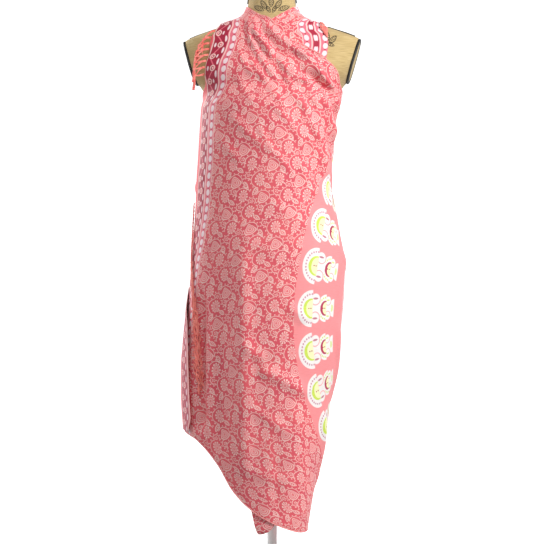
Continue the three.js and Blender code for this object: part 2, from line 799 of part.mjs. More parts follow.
function dressForm() {
  const ringHeights = [];
  formSections.forEach(({ z }, i) => {
    if (i > 0 && z - formSections[i - 1].z > 26) {
      ringHeights.push((z + formSections[i - 1].z) / 2);
    }
    ringHeights.push(z);
  });
  const ring = (turn, t, j) => formPoint(turn * 2 * Math.PI, ringHeights[j]);
  let torso = toSolid(loft(26, ringHeights.length - 1, ring));
  [-1, 1].forEach((side) => {
    const reach = 200;
    const cutter = new THREE.BoxGeometry(reach, reach * 2, reach * 2).translate(reach / 2, 0, 0);
    const slope = Math.atan2(armCut.highX - armCut.lowX, armCut.highZ - armCut.lowZ);
    cutter.rotateY(slope);
    cutter.translate(armCut.lowX, 0, armCut.lowZ);
    if (side < 0) {
      cutter.rotateZ(Math.PI);
    }
    torso = torso.subtract(toSolid(cutter));
    const name = side < 0 ? 'left' : 'right';
    addPiece(`arm_plate_${name}`, plateSolid(side), linen);
    const rim = armOutline(side, armPipingRadius + 0.2, armPipingRadius + seamGap);
    addPiece(`piping_arm_${name}`, tubeAlong(rim, armPipingRadius, 6, 26, true), blackPiping);
    [['neck', 1524, 1470], ['shoulder', 1415, 1394]].forEach(([place, topZ, lowZ]) => {
      const points = [0, 1, 2, 3, 4].map((i) => (
        onForm(side * 90 * degree, mix(topZ, lowZ, i / 4), seamPipingRadius + seamGap)
      ));
      addPiece(`piping_${place}_${name}`, tubeAlong(points, seamPipingRadius, 6, 5), blackPiping);
    });
  });
  addPiece('form_torso', fromSolid(torso), linen);

  const capProfile = [
    new THREE.Vector2(0, 0),
    new THREE.Vector2(48, 0),
    new THREE.Vector2(49, 3),
    new THREE.Vector2(44, neckCapHeight - 1),
    new THREE.Vector2(0, neckCapHeight),
  ];
  const cap = new THREE.LatheGeometry(capProfile, 28).rotateX(Math.PI / 2).scale(1, 1.04, 1);
  cap.translate(0, 3, neckTop + seamGap);
  addPiece('neck_cap', fromSolid(toSolid(cap)), turnedWood);
}

function stand() {
  const baseProfile = [
    new THREE.Vector2(0, 0),
    new THREE.Vector2(baseRadius, 0),
    new THREE.Vector2(baseRadius, 6),
    new THREE.Vector2(baseRadius - 6, baseHeight - 4),
    new THREE.Vector2(40, baseHeight),
    new THREE.Vector2(0, baseHeight),
  ];
  const base = new THREE.LatheGeometry(baseProfile, 40).rotateX(Math.PI / 2);
  addPiece('form_base', fromSolid(toSolid(base)), whiteSteel);

  const poleBottom = baseHeight + seamGap;
  const poleTop = torsoBottom - collarHeight - 2 * seamGap;
  const pole = new THREE.CylinderGeometry(poleRadius, poleRadius, poleTop - poleBottom, 20);
  pole.rotateX(Math.PI / 2).translate(0, 0, (poleTop + poleBottom) / 2);
  addPiece('form_pole', fromSolid(toSolid(pole)), whiteSteel);

  const collar = new THREE.CylinderGeometry(collarRadius, collarRadius * 0.7, collarHeight, 24);
  collar.rotateX(Math.PI / 2).translate(0, 0, torsoBottom - seamGap - collarHeight / 2);
  addPiece('pole_collar', fromSolid(toSolid(collar)), turnedWood);
}

dressForm();
stand();
backWrap();
innerWrap();
frontWrap();
turnedEdge();
fringeOnShoulder();
fringeOnSide();
fringeOnStrap();
neckTie();

export default group;
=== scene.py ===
# A sarong wound as a halter wrap on a dress form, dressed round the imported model. Metres, +Z up.
# Angles go round the form from the front: 0 is the front, +90 degrees is +X, 180 is the back.
import math

import bmesh
import bpy
import numpy as np
from mathutils import Matrix, Vector


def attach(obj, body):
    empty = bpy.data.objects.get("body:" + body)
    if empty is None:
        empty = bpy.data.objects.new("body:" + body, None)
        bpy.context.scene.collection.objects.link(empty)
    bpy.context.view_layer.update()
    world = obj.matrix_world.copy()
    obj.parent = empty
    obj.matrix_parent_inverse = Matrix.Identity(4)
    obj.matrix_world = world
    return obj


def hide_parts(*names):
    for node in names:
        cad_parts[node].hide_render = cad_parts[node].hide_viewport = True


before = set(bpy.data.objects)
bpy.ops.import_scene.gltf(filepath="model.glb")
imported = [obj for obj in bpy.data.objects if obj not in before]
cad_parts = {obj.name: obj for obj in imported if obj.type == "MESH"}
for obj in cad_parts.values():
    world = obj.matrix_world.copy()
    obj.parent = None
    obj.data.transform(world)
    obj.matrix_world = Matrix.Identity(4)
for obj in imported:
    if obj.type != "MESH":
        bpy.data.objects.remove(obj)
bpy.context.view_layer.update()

# The studio: a pale floor that sweeps up into a backdrop, four lamps, of which the smallest and
# brightest stands on the right, and a level camera a little to the right of square on. Left and
# right are the viewer's, here and in the names of pieces.
scene = bpy.context.scene
scene.view_settings.view_transform = "Standard"
middle_height = 0.88
camera_distance = 2.8
camera_turn = math.radians(5)
photo_width = 1.197
sensor_width = 36
floor_size = 7.0
sweep_start = 3.2
sweep_radius = 1.6
floor_shift = 1.2


def link_mesh(form, name, smooth=True):
    mesh = bpy.data.meshes.new(name)
    form.to_mesh(mesh)
    form.free()
    mesh.polygons.foreach_set("use_smooth", [smooth] * len(mesh.polygons))
    piece = bpy.data.objects.new(name, mesh)
    scene.collection.objects.link(piece)
    return piece


def new_material(name, **sockets):
    material = bpy.data.materials.new(name)
    material.use_nodes = True
    principled = material.node_tree.nodes["Principled BSDF"]
    for socket, value in sockets.items():
        principled.inputs[socket.replace("_", " ")].default_value = value
    return material, material.node_tree, principled


def backdrop_point(along):
    if along < sweep_start:
        return along, 0.0
    turn = min((along - sweep_start) / sweep_radius, math.pi / 2)
    risen = max(0.0, along - sweep_start - sweep_radius * math.pi / 2)
    return sweep_start + sweep_radius * math.sin(turn), sweep_radius * (1 - math.cos(turn)) + risen


sweep = bmesh.new()
bmesh.ops.create_grid(sweep, x_segments=2, y_segments=96, size=floor_size)
for corner in sweep.verts:
    corner.co.y, corner.co.z = backdrop_point(corner.co.y + floor_shift)
floor = link_mesh(sweep, "floor")
floor_paint, _, _ = new_material(
    "floor_paint", Base_Color=(0.95, 0.95, 0.95, 1), Roughness=0.9,
    Emission_Color=(1, 1, 1, 1), Emission_Strength=0.75)
floor.data.materials.append(floor_paint)
floor.visible_diffuse = False

lamps = [
    # name, place, size, watts
    ("lamp_right", (2.7, -1.6, 2.2), 0.55, 104),
    ("lamp_left", (-3.3, -0.5, 1.4), 1.6, 30),
    ("lamp_behind", (-2.3, 1.7, 2.2), 0.8, 66),
    ("lamp_above", (0.6, -1.8, 3.2), 1.0, 26),
]
for name, place, size, watts in lamps:
    light = bpy.data.lights.new(name, "AREA")
    light.size = size
    light.energy = watts
    lamp = bpy.data.objects.new(name, light)
    lamp.location = place
    aim = Vector((0, 0, middle_height)) - Vector(place)
    lamp.rotation_euler = aim.to_track_quat("-Z", "Y").to_euler()
    scene.collection.objects.link(lamp)
scene.world = bpy.data.worlds.new("studio_air")
scene.world.use_nodes = True
air = scene.world.node_tree.nodes["Background"].inputs
air["Color"].default_value = (1, 1, 1, 1)
air["Strength"].default_value = 0.30

camera = bpy.data.objects.new("camera", bpy.data.cameras.new("camera"))
camera.data.sensor_width = sensor_width
camera.data.lens = sensor_width * camera_distance / photo_width
camera.location = (
    camera_distance * math.sin(camera_turn), -camera_distance * math.cos(camera_turn), middle_height)
camera.rotation_euler = (math.pi / 2, 0, camera_turn)
scene.collection.objects.link(camera)
scene.camera = camera

# The dress form's body: a moulded shell under unbleached linen with a dark leaf ornament, sawn off
# flat at the arms, with no limbs and a plain rounded chest. The cloth hangs and lies on it.
form_sections = np.array([
    # millimetres: height, half width, depth to the front, depth to the back
    (795, 144, 102, 110),
    (820, 150, 106, 116),
    (880, 153, 110, 120),
    (950, 146, 106, 111),
    (1020, 127, 96, 93),
    (1080, 113, 88, 82),
    (1130, 117, 98, 87),
    (1180, 127, 115, 96),
    (1225, 135, 121, 101),
    (1258, 143, 111, 102),
    (1285, 156, 102, 103),
    (1310, 181, 100, 100),
    (1340, 200, 89, 94),
    (1365, 203, 81, 88),
    (1386, 196, 76, 82),
    (1398, 172, 73, 79),
    (1410, 137, 70, 76),
    (1422, 102, 66, 72),
    (1434, 74, 61, 68),
    (1448, 59, 57, 64),
    (1470, 52, 52, 58),
    (1500, 49.5, 49, 55),
    (1528, 49, 48, 54),
]) / 1000
arm_cut_low = Vector((0.160, 0, 1.285))
arm_cut_high = Vector((0.190, 0, 1.388))


def curve_through(places, values):
    """A smooth curve through a table's column, which never swings past its rows."""
    x, y = np.asarray(places, float), np.asarray(values, float)
    slope = np.diff(y) / np.diff(x)
    before, after = np.append(slope[0], slope), np.append(slope, slope[-1])
    alike = before * after > 0
    tangent = np.where(alike, 2 * before * after / np.where(alike, before + after, 1), 0)

    def at(place):
        place = np.clip(place, x[0], x[-1])
        i = np.clip(np.searchsorted(x, place) - 1, 0, len(x) - 2)
        span = x[i + 1] - x[i]
        t = (place - x[i]) / span
        s = 1 - t
        rising = (1 + 2 * t) * s * s * y[i] + t * s * s * span * tangent[i]
        return rising + t * t * (3 - 2 * t) * y[i + 1] - t * t * s * span * tangent[i + 1]

    return at


def smooth_step(low, high, value):
    t = np.clip((value - low) / (high - low), 0, 1)
    return t * t * (3 - 2 * t)


def mix(a, b, t):
    return a + (b - a) * t


form_side, form_front, form_back = (
    curve_through(form_sections[:, 0], form_sections[:, i]) for i in (1, 2, 3)
)


def form_point(angle, z):
    depth = np.where(np.cos(angle) > 0, form_front(z), form_back(z))
    return np.stack([form_side(z) * np.sin(angle), -depth * np.cos(angle), z + 0 * angle], axis=-1)


def normal_at(surface, angle, z):
    turn, rise = 0.006, 0.0008
    across = surface(angle + turn, z) - surface(angle - turn, z)
    up = surface(angle, z + rise) - surface(angle, z - rise)
    normal = np.cross(across, up)
    return normal / np.linalg.norm(normal, axis=-1, keepdims=True)


def off_surface(surface, angle, z, distance):
    distance = np.asarray(distance, float)
    return surface(angle, z) + normal_at(surface, angle, z) * distance[..., None]


def on_form(angle, z, distance):
    return off_surface(form_point, angle, z, distance)


def grid_piece(columns, rows, place):
    """A grid whose corners are moved to place(u, v), with u across and v up, both from 0 to 1."""
    form = bmesh.new()
    bmesh.ops.create_grid(form, x_segments=columns, y_segments=rows, size=0.5)
    flat = np.array([corner.co[:2] for corner in form.verts]) + 0.5
    moved = place(flat[:, 0], flat[:, 1])
    for corner, spot in zip(form.verts, moved):
        corner.co = spot
    return form, flat


def close_tube(form):
    bmesh.ops.remove_doubles(form, verts=form.verts, dist=1e-6)
    bmesh.ops.holes_fill(form, edges=form.edges, sides=0)
    bmesh.ops.recalc_face_normals(form, faces=form.faces)


torso_low, torso_high = form_sections[0, 0], form_sections[-1, 0]
torso, _ = grid_piece(120, 150, lambda u, v: form_point(2 * np.pi * u, mix(torso_low, torso_high, v)))
close_tube(torso)
for side in (-1, 1):
    upward = arm_cut_high - arm_cut_low
    outward = Vector((upward.z * side, 0, -upward.x)).normalized()
    corner = Vector((arm_cut_low.x * side, 0, arm_cut_low.z))
    everything = list(torso.verts) + list(torso.edges) + list(torso.faces)
    bmesh.ops.bisect_plane(
        torso, geom=everything, dist=1e-6, plane_co=corner, plane_no=outward, clear_outer=True)
    bmesh.ops.holes_fill(torso, edges=torso.edges, sides=0)
bmesh.ops.recalc_face_normals(torso, faces=torso.faces)
torso_cover = link_mesh(torso, "torso_cover")
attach(torso_cover, "root")
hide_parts("form_torso")

# The outer end of the sarong: printed cotton that starts at the right side, crosses the whole front
# and runs up over the left shoulder. Nothing is sewn to shape; it hangs in folds from the strap.
cloth_thickness = 0.0016
layer_step = 0.0032
strap_lift = 0.0022
bust_top = 1.260
join_height = 0.720
strap_end_angle = 112
cloth_sections = np.array([
    # millimetres: height, half width on the left and on the right, depth to the front and the back
    (290, 95, 73, 95, 88),
    (378, 132, 87, 104, 97),
    (442, 160, 98, 110, 104),
    (510, 186, 114, 117, 112),
    (543, 193, 120, 120, 115),
    (613, 197, 129, 125, 121),
    (671, 197, 139, 128, 125),
    (726, 193, 146, 130, 128),
    (783, 187, 153, 131, 130),
    (838, 181, 157, 131, 130),
    (895, 177, 159, 129, 127),
    (965, 171, 148, 127, 119),
    (1027, 167, 137, 126, 106),
    (1086, 165, 127, 127, 101),
    (1130, 162, 128, 129, 101),
    (1180, 159, 134, 131, 105),
    (1225, 156, 142, 130, 109),
    (1258, 153.5, 153, 123, 110),
]) / 1000
border_edge = [
    # height, angle of the border's edge
    (0.532, -88), (0.613, -90), (0.838, -91), (1.038, -93), (1.120, -98), (1.200, -102),
    (1.240, -100), (1.263, -84.5), (1.285, -60.5), (1.319, -45.5), (1.356, -38.5), (1.390, -39),
    (1.408, -50), (1.417, -66), (1.424, -88), (1.430, -strap_end_angle),
]
upper_edge = [
    # height, angle of the upper edge
    (1.270, 90), (1.284, 71), (1.318, 46.5), (1.336, 35), (1.364, 20), (1.377, 11.5),
    (1.395, 7.5), (1.416, 3), (1.433, -16.5), (1.445, -38), (1.456, -61.5), (1.462, -100),
]
front_hem = [
    # angle, height of the hem
    (-93, 0.533), (-84, 0.532), (-60, 0.522), (-50, 0.505), (-39.5, 0.469), (-31.5, 0.417),
    (-20.5, 0.384), (-3, 0.356), (12, 0.344), (58, 0.320), (90, 0.314),
]
front_folds = [
    # millimetres: start, bend and end of the fold's line as (x, z); height, width. Then its side
    (-23, 1426, 6, 1397, 36, 1377, 2.5, 7, 1),
    (-44, 1411, 0, 1375, 52, 1324, 4, 9, 1),
    (-53, 1436, -25, 1369, 0, 1333, 3.5, 9, 1),
    (48, 1329, 105, 1287, 127, 1250, 4.5, 10, 1),
    (80, 1330, 132, 1285, 136, 1216, 3.5, 9, -1),
    (53, 1293, 104, 1233, 122, 1154, 6, 11, 1),
    (60, 1215, 95, 1150, 112, 1080, 5, 14, 1),
    (77, 1123, 94, 1083, 110, 1040, 5, 12, -1),
    (-62, 730, -40, 705, -8, 682, 5, 13, 1),
    (-26, 666, 22, 644, 82, 606, 6, 14, 1),
    (34, 800, 55, 785, 78, 764, 4, 13, 1),
    (-41, 1453, -5, 1422, 40, 1390, 5, 6, 1),
    (-51, 1405, -10, 1357, 8, 1322, 6.8, 7, 1),
    (-26, 1415, 45, 1350, 111, 1314, 9, 8, 1),
    (88, 1318, 128, 1270, 139, 1175, 6.6, 6, 1),
    (63, 1289, 108, 1240, 126, 1150, 6.6, 6, 1),
    (7, 1336, 50, 1287, 96, 1225, 5.6, 7, 1),
    (-31, 1314, 0, 1276, 28, 1247, 2.6, 7, 1),
    (-61, 1357, -41, 1321, -18, 1297, 2.4, 6, -1),
    (22, 1300, 60, 1253, 84, 1208, 4.6, 7, 1),
    (-91, 1213, -45, 1168, 15, 1112, 2.6, 9, 1),
    (-124, 1175, -96, 1142, -56, 1100, 2.4, 9, 1),
    (52, 1190, 95, 1130, 111, 1080, 3.4, 8, 1),
    (100, 1235, 117, 1175, 122, 1105, 4, 6, -1),
    (58, 1374, 90, 1352, 120, 1322, 4.2, 6, 1),
    (40, 1352, 108, 1296, 138, 1215, 5.5, 6, 1),
    (30, 1270, 75, 1215, 98, 1150, 3.6, 7, 1),
    (0, 1235, 45, 1185, 75, 1125, 2.6, 8, 1),
    (-75, 1300, -55, 1260, -28, 1225, 2.2, 8, 1),
    (-50, 1425, -45, 1385, -28, 1350, 3.6, 5, 1),
    (-10, 1030, 45, 985, 100, 955, 2, 13, 1),
    (-70, 960, -30, 925, 20, 905, 1.8, 14, 1),
    (-48, 590, -10, 566, 52, 520, 3, 12, 1),
    (-55, 486, 0, 462, 60, 448, 2.6, 14, -1),
    (-58, 1395, -20, 1330, 30, 1262, 3.6, 6, 1),
    (30, 1330, 80, 1262, 118, 1180, 4.6, 6, 1),
    (-45, 1330, -5, 1270, 50, 1205, 2.6, 6, 1),
    (86, 1200, 106, 1120, 110, 1020, 3.8, 6, 1),
    (-30, 1190, 10, 1130, 60, 1070, 2.2, 7, 1),
]
front_pleats = [
    # millimetres: x; heights where it starts, is full from, is full to, and ends; depth, width
    (-147, 862, 800, 570, 525, -15, 10),
    (-102, 960, 800, 560, 470, -12, 30),
    (-48, 1000, 860, 520, 400, 7, 18),
    (20, 560, 490, 380, 340, -3, 14),
    (62, 620, 560, 380, 300, 4, 18),
]
back_folds = [
    (128, 1235, 40, 1130, -60, 1070, 7.5, 13, 1),
    (-125, 1200, -50, 1060, 30, 985, 7.5, 14, 1),
    (110, 800, 40, 690, -20, 520, 8.5, 17, 1),
    (-120, 860, -80, 760, -70, 610, 8, 16, 1),
    (60, 560, 50, 470, 55, 390, 7, 14, 1),
    (135, 1205, 80, 1150, 10, 1125, 5, 9, -1),
    (-140, 1150, -100, 1075, -55, 1030, 5, 10, 1),
    (130, 960, 60, 905, -30, 880, 4.2, 12, 1),
    (-150, 720, -105, 655, -85, 590, 5.5, 12, -1),
    (20, 700, -10, 610, -30, 530, 5, 14, 1),
    (90, 1255, 60, 1200, 30, 1165, 4, 8, 1),
    (-70, 1252, -58, 1190, -20, 1150, 3.6, 9, -1),
]
right_folds = [
    # the same columns, with y in place of x
    (-60, 1215, -5, 1130, 50, 1085, 5, 10, 1),
    (-50, 1150, 5, 1070, 55, 1010, 4.2, 11, 1),
    (-60, 780, -10, 660, 40, 560, 6.5, 15, 1),
    (-45, 600, 0, 500, 35, 400, 5.5, 14, -1),
    (-55, 930, 10, 880, 60, 865, 3, 12, 1),
]
left_folds = [
    (70, 1200, 30, 1110, -20, 1060, 5, 10, 1),
    (60, 1020, 20, 960, -10, 930, 3.6, 12, -1),
    (70, 800, 40, 700, 30, 610, 6, 14, 1),
]
cloth_left, cloth_right, cloth_front, cloth_back = (
    curve_through(cloth_sections[:, 0], cloth_sections[:, i]) for i in (1, 2, 3, 4)
)


def layers_below(z):
    return 1 - smooth_step(1.416, 1.436, z)


def smooth_cloth(angle, z):
    side = np.where(np.sin(angle) > 0, cloth_right(z), cloth_left(z))
    depth = np.where(np.cos(angle) > 0, cloth_front(z), cloth_back(z))
    hung = np.stack([side * np.sin(angle), -depth * np.cos(angle), z + 0 * angle], axis=-1)
    lying = on_form(angle, z, strap_lift + layer_step * layers_below(z) + 0 * angle)
    return mix(hung, lying, smooth_step(bust_top - 0.02, bust_top + 0.02, z)[..., None])


fold_lines = {}


def fold_line(fold, steps=16):
    """Points along a spline through the fold's start, bend and end."""
    start, bend, end = (np.array(fold[i:i + 2]) / 1000 for i in (0, 2, 4))
    points = []
    for t in np.linspace(0, 2, steps + 1):
        first = t < 1
        a, b, c, d = (start, start, bend, end) if first else (start, bend, end, end)
        w = t if first else t - 1
        leave, arrive = (c - a) / 2, (d - b) / 2
        cubic, square = 2 * b - 2 * c + leave + arrive, -3 * b + 3 * c - 2 * leave - arrive
        points.append(((cubic * w + square) * w + leave) * w + b)
    return np.array(points)


def fold_rise(fold, x, z):
    line = fold_lines.setdefault(fold, fold_line(fold))
    height, width, side = fold[6] / 1000, fold[7] / 1000, fold[8]
    step = np.diff(line, axis=0)
    to_x, to_z = x[..., None] - line[:-1, 0], z[..., None] - line[:-1, 1]
    t = np.clip((to_x * step[:, 0] + to_z * step[:, 1]) / (step ** 2).sum(axis=1), 0, 1)
    away = np.hypot(to_x - t * step[:, 0], to_z - t * step[:, 1])
    nearest = away.argmin(axis=-1)[..., None]
    near = np.take_along_axis(away, nearest, -1)[..., 0]
    turned = np.sign(step[:, 0] * to_z - step[:, 1] * to_x)
    offset = near * np.take_along_axis(turned, nearest, -1)[..., 0]
    along = (nearest[..., 0] + np.take_along_axis(t, nearest, -1)[..., 0]) / len(step)
    fade = smooth_step(0, 0.25, along) * (1 - smooth_step(0.75, 1, along))
    return height * fade * np.exp(-((offset * side - width) / width) ** 2)


def pleat_rise(pleat, x, z):
    middle, top, full_from, full_to, bottom, height, width = np.array(pleat) / 1000
    fade = smooth_step(bottom, full_to, z) * (1 - smooth_step(full_from, top, z))
    return height * fade * np.exp(-((x - middle) / width) ** 2)


def draped_cloth(angle, z):
    point = smooth_cloth(angle, z)
    x, front = point[..., 0], np.cos(angle) > 0
    ahead = sum(fold_rise(fold, x, z) for fold in front_folds)
    ahead = ahead + sum(pleat_rise(pleat, x, z) for pleat in front_pleats)
    behind = sum(fold_rise(fold, x, z) for fold in back_folds)
    rise = np.where(front, ahead, behind) * smooth_step(0.05, 0.3, np.abs(np.cos(angle)))
    right_rise = sum(fold_rise(fold, point[..., 1], z) for fold in right_folds)
    left_rise = sum(fold_rise(fold, point[..., 1], z) for fold in left_folds)
    sideways = smooth_step(0.75, 0.92, np.abs(np.sin(angle)))
    beside = np.where(np.sin(angle) > 0, right_rise, left_rise) * sideways
    return point + normal_at(smooth_cloth, angle, z) * (rise + beside)[..., None]


def on_cloth(angle, z, distance):
    return off_surface(draped_cloth, angle, z, distance + 0 * angle)


def edge_curve(rows):
    return curve_through(*zip(*rows))


def wrap_place(u, v, left_edge, right_edge, hem):
    """Angle and height on one end of the cloth: rows follow the hem at first, then lie level."""
    hem_share = 0.25
    level = np.interp(v, [hem_share, 0.54, 0.78, 0.92, 1], [join_height, 1.10, 1.30, 1.40, 1.462])
    s = np.clip(v / hem_share, 0, 1)
    left_z = mix(hem(left_edge(0)), join_height, s)
    right_z = mix(hem(right_edge(0)), join_height, s)
    low_angle = mix(left_edge(left_z), right_edge(right_z), u)
    high_angle = mix(left_edge(level), right_edge(level), u)
    low_z = mix(hem(low_angle), join_height, s)
    below = v < hem_share
    return np.radians(np.where(below, low_angle, high_angle)), np.where(below, low_z, level)


def cord_form(points, radius, closed=False, sides=3):
    curve = bpy.data.curves.new("cord_path", "CURVE")
    curve.dimensions = "3D"
    curve.bevel_depth = radius
    curve.bevel_resolution = sides
    curve.use_fill_caps = True
    spline = curve.splines.new("POLY")
    spline.points.add(len(points) - 1)
    spline.use_cyclic_u = closed
    for handle, point in zip(spline.points, points):
        handle.co = (*point, 1)
    path = bpy.data.objects.new("cord_path", curve)
    form = bmesh.new()
    form.from_mesh(bpy.data.meshes.new_from_object(path))
    bpy.data.objects.remove(path)
    return form


def thin_shell(form, name):
    """The grid is the cloth's inside, and the wall grows outwards from it."""
    piece = link_mesh(form, name)
    wall = piece.modifiers.new("wall", "SOLIDIFY")
    wall.thickness = cloth_thickness
    wall.offset = 1
    return piece


# The print lies flat on the cut cloth, so each corner of a grid gets its place there: across from
# the border's row of beads, up along the selvedge, and from the middle of the round medallion.
bead_line = edge_curve([
    (0.500, -66), (0.750, -66), (0.850, -64), (0.950, -57), (1.035, -52), (1.077, -51),
    (1.114, -50), (1.199, -50.5), (1.238, -50),
    (1.250, -47), (1.284, -37.5), (1.329, -27.5), (1.356, -23), (1.378, -21.5), (1.403, -25.5),
    (1.428, -48), (1.450, -79.5),
])
medallion_angle = math.radians(36.8)
medallion_height = 0.803
fan_ring = 0.430
strap_gather = 1.9
no_medallion = 3.0
arc_angles = np.radians(np.arange(-116, 278))
arc_heights = np.arange(0.28, 1.47, 0.005)
arc_points = smooth_cloth(*np.meshgrid(arc_angles, arc_heights))
arc_steps = np.linalg.norm(np.diff(arc_points, axis=1), axis=2)
arc_sums = np.hstack([np.zeros((len(arc_heights), 1)), np.cumsum(arc_steps, axis=1)])


def arc_at(angle, z):
    """Distance along the cloth, at one height, from the first of the table's angles."""
    column = np.clip((angle - arc_angles[0]) / (arc_angles[1] - arc_angles[0]), 0, len(arc_angles) - 1.001)
    row = np.clip((z - arc_heights[0]) / (arc_heights[1] - arc_heights[0]), 0, len(arc_heights) - 1.001)
    i, j = column.astype(int), row.astype(int)
    lower = mix(arc_sums[j, i], arc_sums[j, i + 1], column - i)
    upper = mix(arc_sums[j + 1, i], arc_sums[j + 1, i + 1], column - i)
    return mix(lower, upper, row - j)


bead_points = smooth_cloth(np.radians(bead_line(arc_heights)), arc_heights)
bead_lengths = np.append(0, np.cumsum(np.linalg.norm(np.diff(bead_points, axis=0), axis=1)))


def print_place(angle, z):
    across = arc_at(angle, z) - arc_at(np.radians(bead_line(z)), z)
    across = across * np.where(across > 0, mix(1, strap_gather, smooth_step(1.30, 1.45, z)), 1)
    return np.stack([across, np.interp(z, arc_heights, bead_lengths)], axis=1)


def medallion_place(angle, z):
    across = arc_at(angle, z) - arc_at(np.full_like(z, medallion_angle), z)
    return np.stack([across - fan_ring, z - medallion_height], axis=1)


def lay_print(piece, spots, round_spots=None):
    """Lays the print's own map on a piece, and the medallion's, which is far off where none is given."""
    if round_spots is None:
        round_spots = np.full((len(spots), 2), no_medallion)
    corners = np.empty(len(piece.data.loops), int)
    piece.data.loops.foreach_get("vertex_index", corners)
    for name, places in (("print", spots), ("medallion", round_spots)):
        layer = piece.data.uv_layers.new(name=name)
        layer.data.foreach_set("uv", places[corners].astype(np.float32).ravel())


def fit(piece, material, slot, *nodes):
    """Gives a piece its material, in a new slot, and its place on the one body, and hides the imported parts
    that it stands for. The slot argument is not used.
    """
    piece.data.materials.append(material)
    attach(piece, "root")
    if nodes:
        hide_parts(*nodes)
    return piece


# The print itself, on light plain-woven cotton: a coral ground with a pale line pattern of florets,
# buds, vines and leaves, a scrolled border with a row of beads, and a ring of fans.
def add(kind, *inputs, **settings):
    """Adds a node to the tree being built; an input is a value or a link. Gives its first output."""
    made = tree.nodes.new("ShaderNode" + kind)
    for setting, value in settings.items():
        setattr(made, setting, value)
    for socket, value in zip(made.inputs, inputs):
        if isinstance(value, bpy.types.NodeSocket):
            tree.links.new(value, socket)
        elif value is not None:
            socket.default_value = value
    return made.outputs[0]


def calc(operation, *inputs):
    return add("Math", *inputs, operation=operation)


def times(a, b):
    return calc("MULTIPLY", a, b)


def over(a, b):
    return calc("DIVIDE", a, b)


def plus(a, b):
    return calc("ADD", a, b)


def minus(a, b):
    return calc("SUBTRACT", a, b)


def absolute(a):
    return calc("ABSOLUTE", a)


def noise(place, scale, detail):
    return add("TexNoise", place, None, scale, detail).node.outputs[0]


def ramp(value, low, high, to_low=0, to_high=1):
    return add("MapRange", value, low, high, to_low, to_high)


def move(operation, *inputs):
    return add("VectorMath", *inputs, operation=operation)


def dot(vector, other):
    return add("VectorMath", vector, other, operation="DOT_PRODUCT").node.outputs["Value"]


def distance(x, y):
    spot = add("CombineXYZ", x, y, 0)
    return add("VectorMath", spot, operation="LENGTH").node.outputs["Value"]


def under(value, edge, blur=0.35):
    """1 where the value is under the edge, falling to 0 over a short stretch."""
    return ramp(value, edge + blur, edge - blur)


def near(value, target, reach, blur=0.35):
    return under(absolute(minus(value, target)), reach, blur)


def both(*masks):
    result = masks[0]
    for mask in masks[1:]:
        result = times(result, mask)
    return result


def either(*masks):
    result = masks[0]
    for mask in masks[1:]:
        result = calc("MAXIMUM", result, mask)
    return result


def repeat(value, pitch, start=0):
    return calc("WRAP", value, start + pitch / 2, start - pitch / 2)


def paint(under_colour, colour, mask):
    made = tree.nodes.new("ShaderNodeMix")
    made.data_type = "RGBA"
    for name, value in (("Factor_Float", mask), ("A_Color", under_colour), ("B_Color", colour)):
        socket = next(s for s in made.inputs if s.identifier == name)
        if isinstance(value, bpy.types.NodeSocket):
            tree.links.new(value, socket)
        else:
            socket.default_value = value if name == "Factor_Float" else (*value, 1)
    return next(s for s in made.outputs if s.identifier == "Result_Color")


def new_group(name, inputs, outputs):
    group = bpy.data.node_groups.new(name, "ShaderNodeTree")
    for label, kind in inputs:
        group.interface.new_socket(label, in_out="INPUT", socket_type=kind)
    for label, kind in outputs:
        group.interface.new_socket(label, in_out="OUTPUT", socket_type=kind)
    return group, group.nodes.new("NodeGroupInput"), group.nodes.new("NodeGroupOutput")


def use_group(group, **values):
    made = tree.nodes.new("ShaderNodeGroup")
    made.node_tree = group
    for label, value in values.items():
        if isinstance(value, bpy.types.NodeSocket):
            tree.links.new(value, made.inputs[label])
        else:
            made.inputs[label].default_value = value
    return made.outputs


# One repeat of the field: two slanted steps, in millimetres
repeat_down = (-14.0, -68.0)
repeat_across = (61.6, -32.6)


def motif_place(lattice, centre, turn):
    """x and y, in millimetres, from the nearest copy of a motif, along its own turned axes."""
    away = move("SUBTRACT", lattice, (*centre, 0))
    away = move("WRAP", away, (0.5, 0.5, 0.5), (-0.5, -0.5, -0.5))
    c, s = math.cos(math.radians(turn)), math.sin(math.radians(turn))
    (ax, ay), (bx, by) = repeat_down, repeat_across
    x = dot(away, (ax * c + ay * s, bx * c + by * s, 0))
    return x, dot(away, (ay * c - ax * s, by * c - bx * s, 0))


def petal_ring(angle, radius, count, ring):
    along = repeat(times(angle, count / math.tau), 1)
    along = times(along, math.tau * ring / count)
    return distance(along, minus(radius, ring))


def floret(x, y):
    wide = over(x, 0.74)
    radius = distance(wide, y)
    petals = petal_ring(calc("ARCTAN2", y, wide), radius, 11, 11.6)
    lines = either(under(petals, 2.2), near(radius, 8.2, 0.55), near(radius, 4.4, 0.6))
    return lines, both(under(radius, 8), 0.6)


def bud(x, y):
    taper = calc("MAXIMUM", calc("MULTIPLY_ADD", y, 0.05, 1.0), 0.72)
    radius = distance(times(x, taper), times(y, 0.86))
    lines = either(near(radius, 9.6, 0.75), near(radius, 6.2, 0.55), near(radius, 3.2, 0.5))
    return lines, both(under(radius, 9), 0.45)


def vine(x, y, ring, sweep, buds):
    radius = distance(x, y)
    angle = calc("ARCTAN2", y, x)
    window = under(absolute(angle), math.radians(sweep / 2), 0.06)
    berries = under(petal_ring(angle, radius, buds, ring + 3.0), 1.3)
    return both(either(near(radius, ring, 0.65), berries), window)


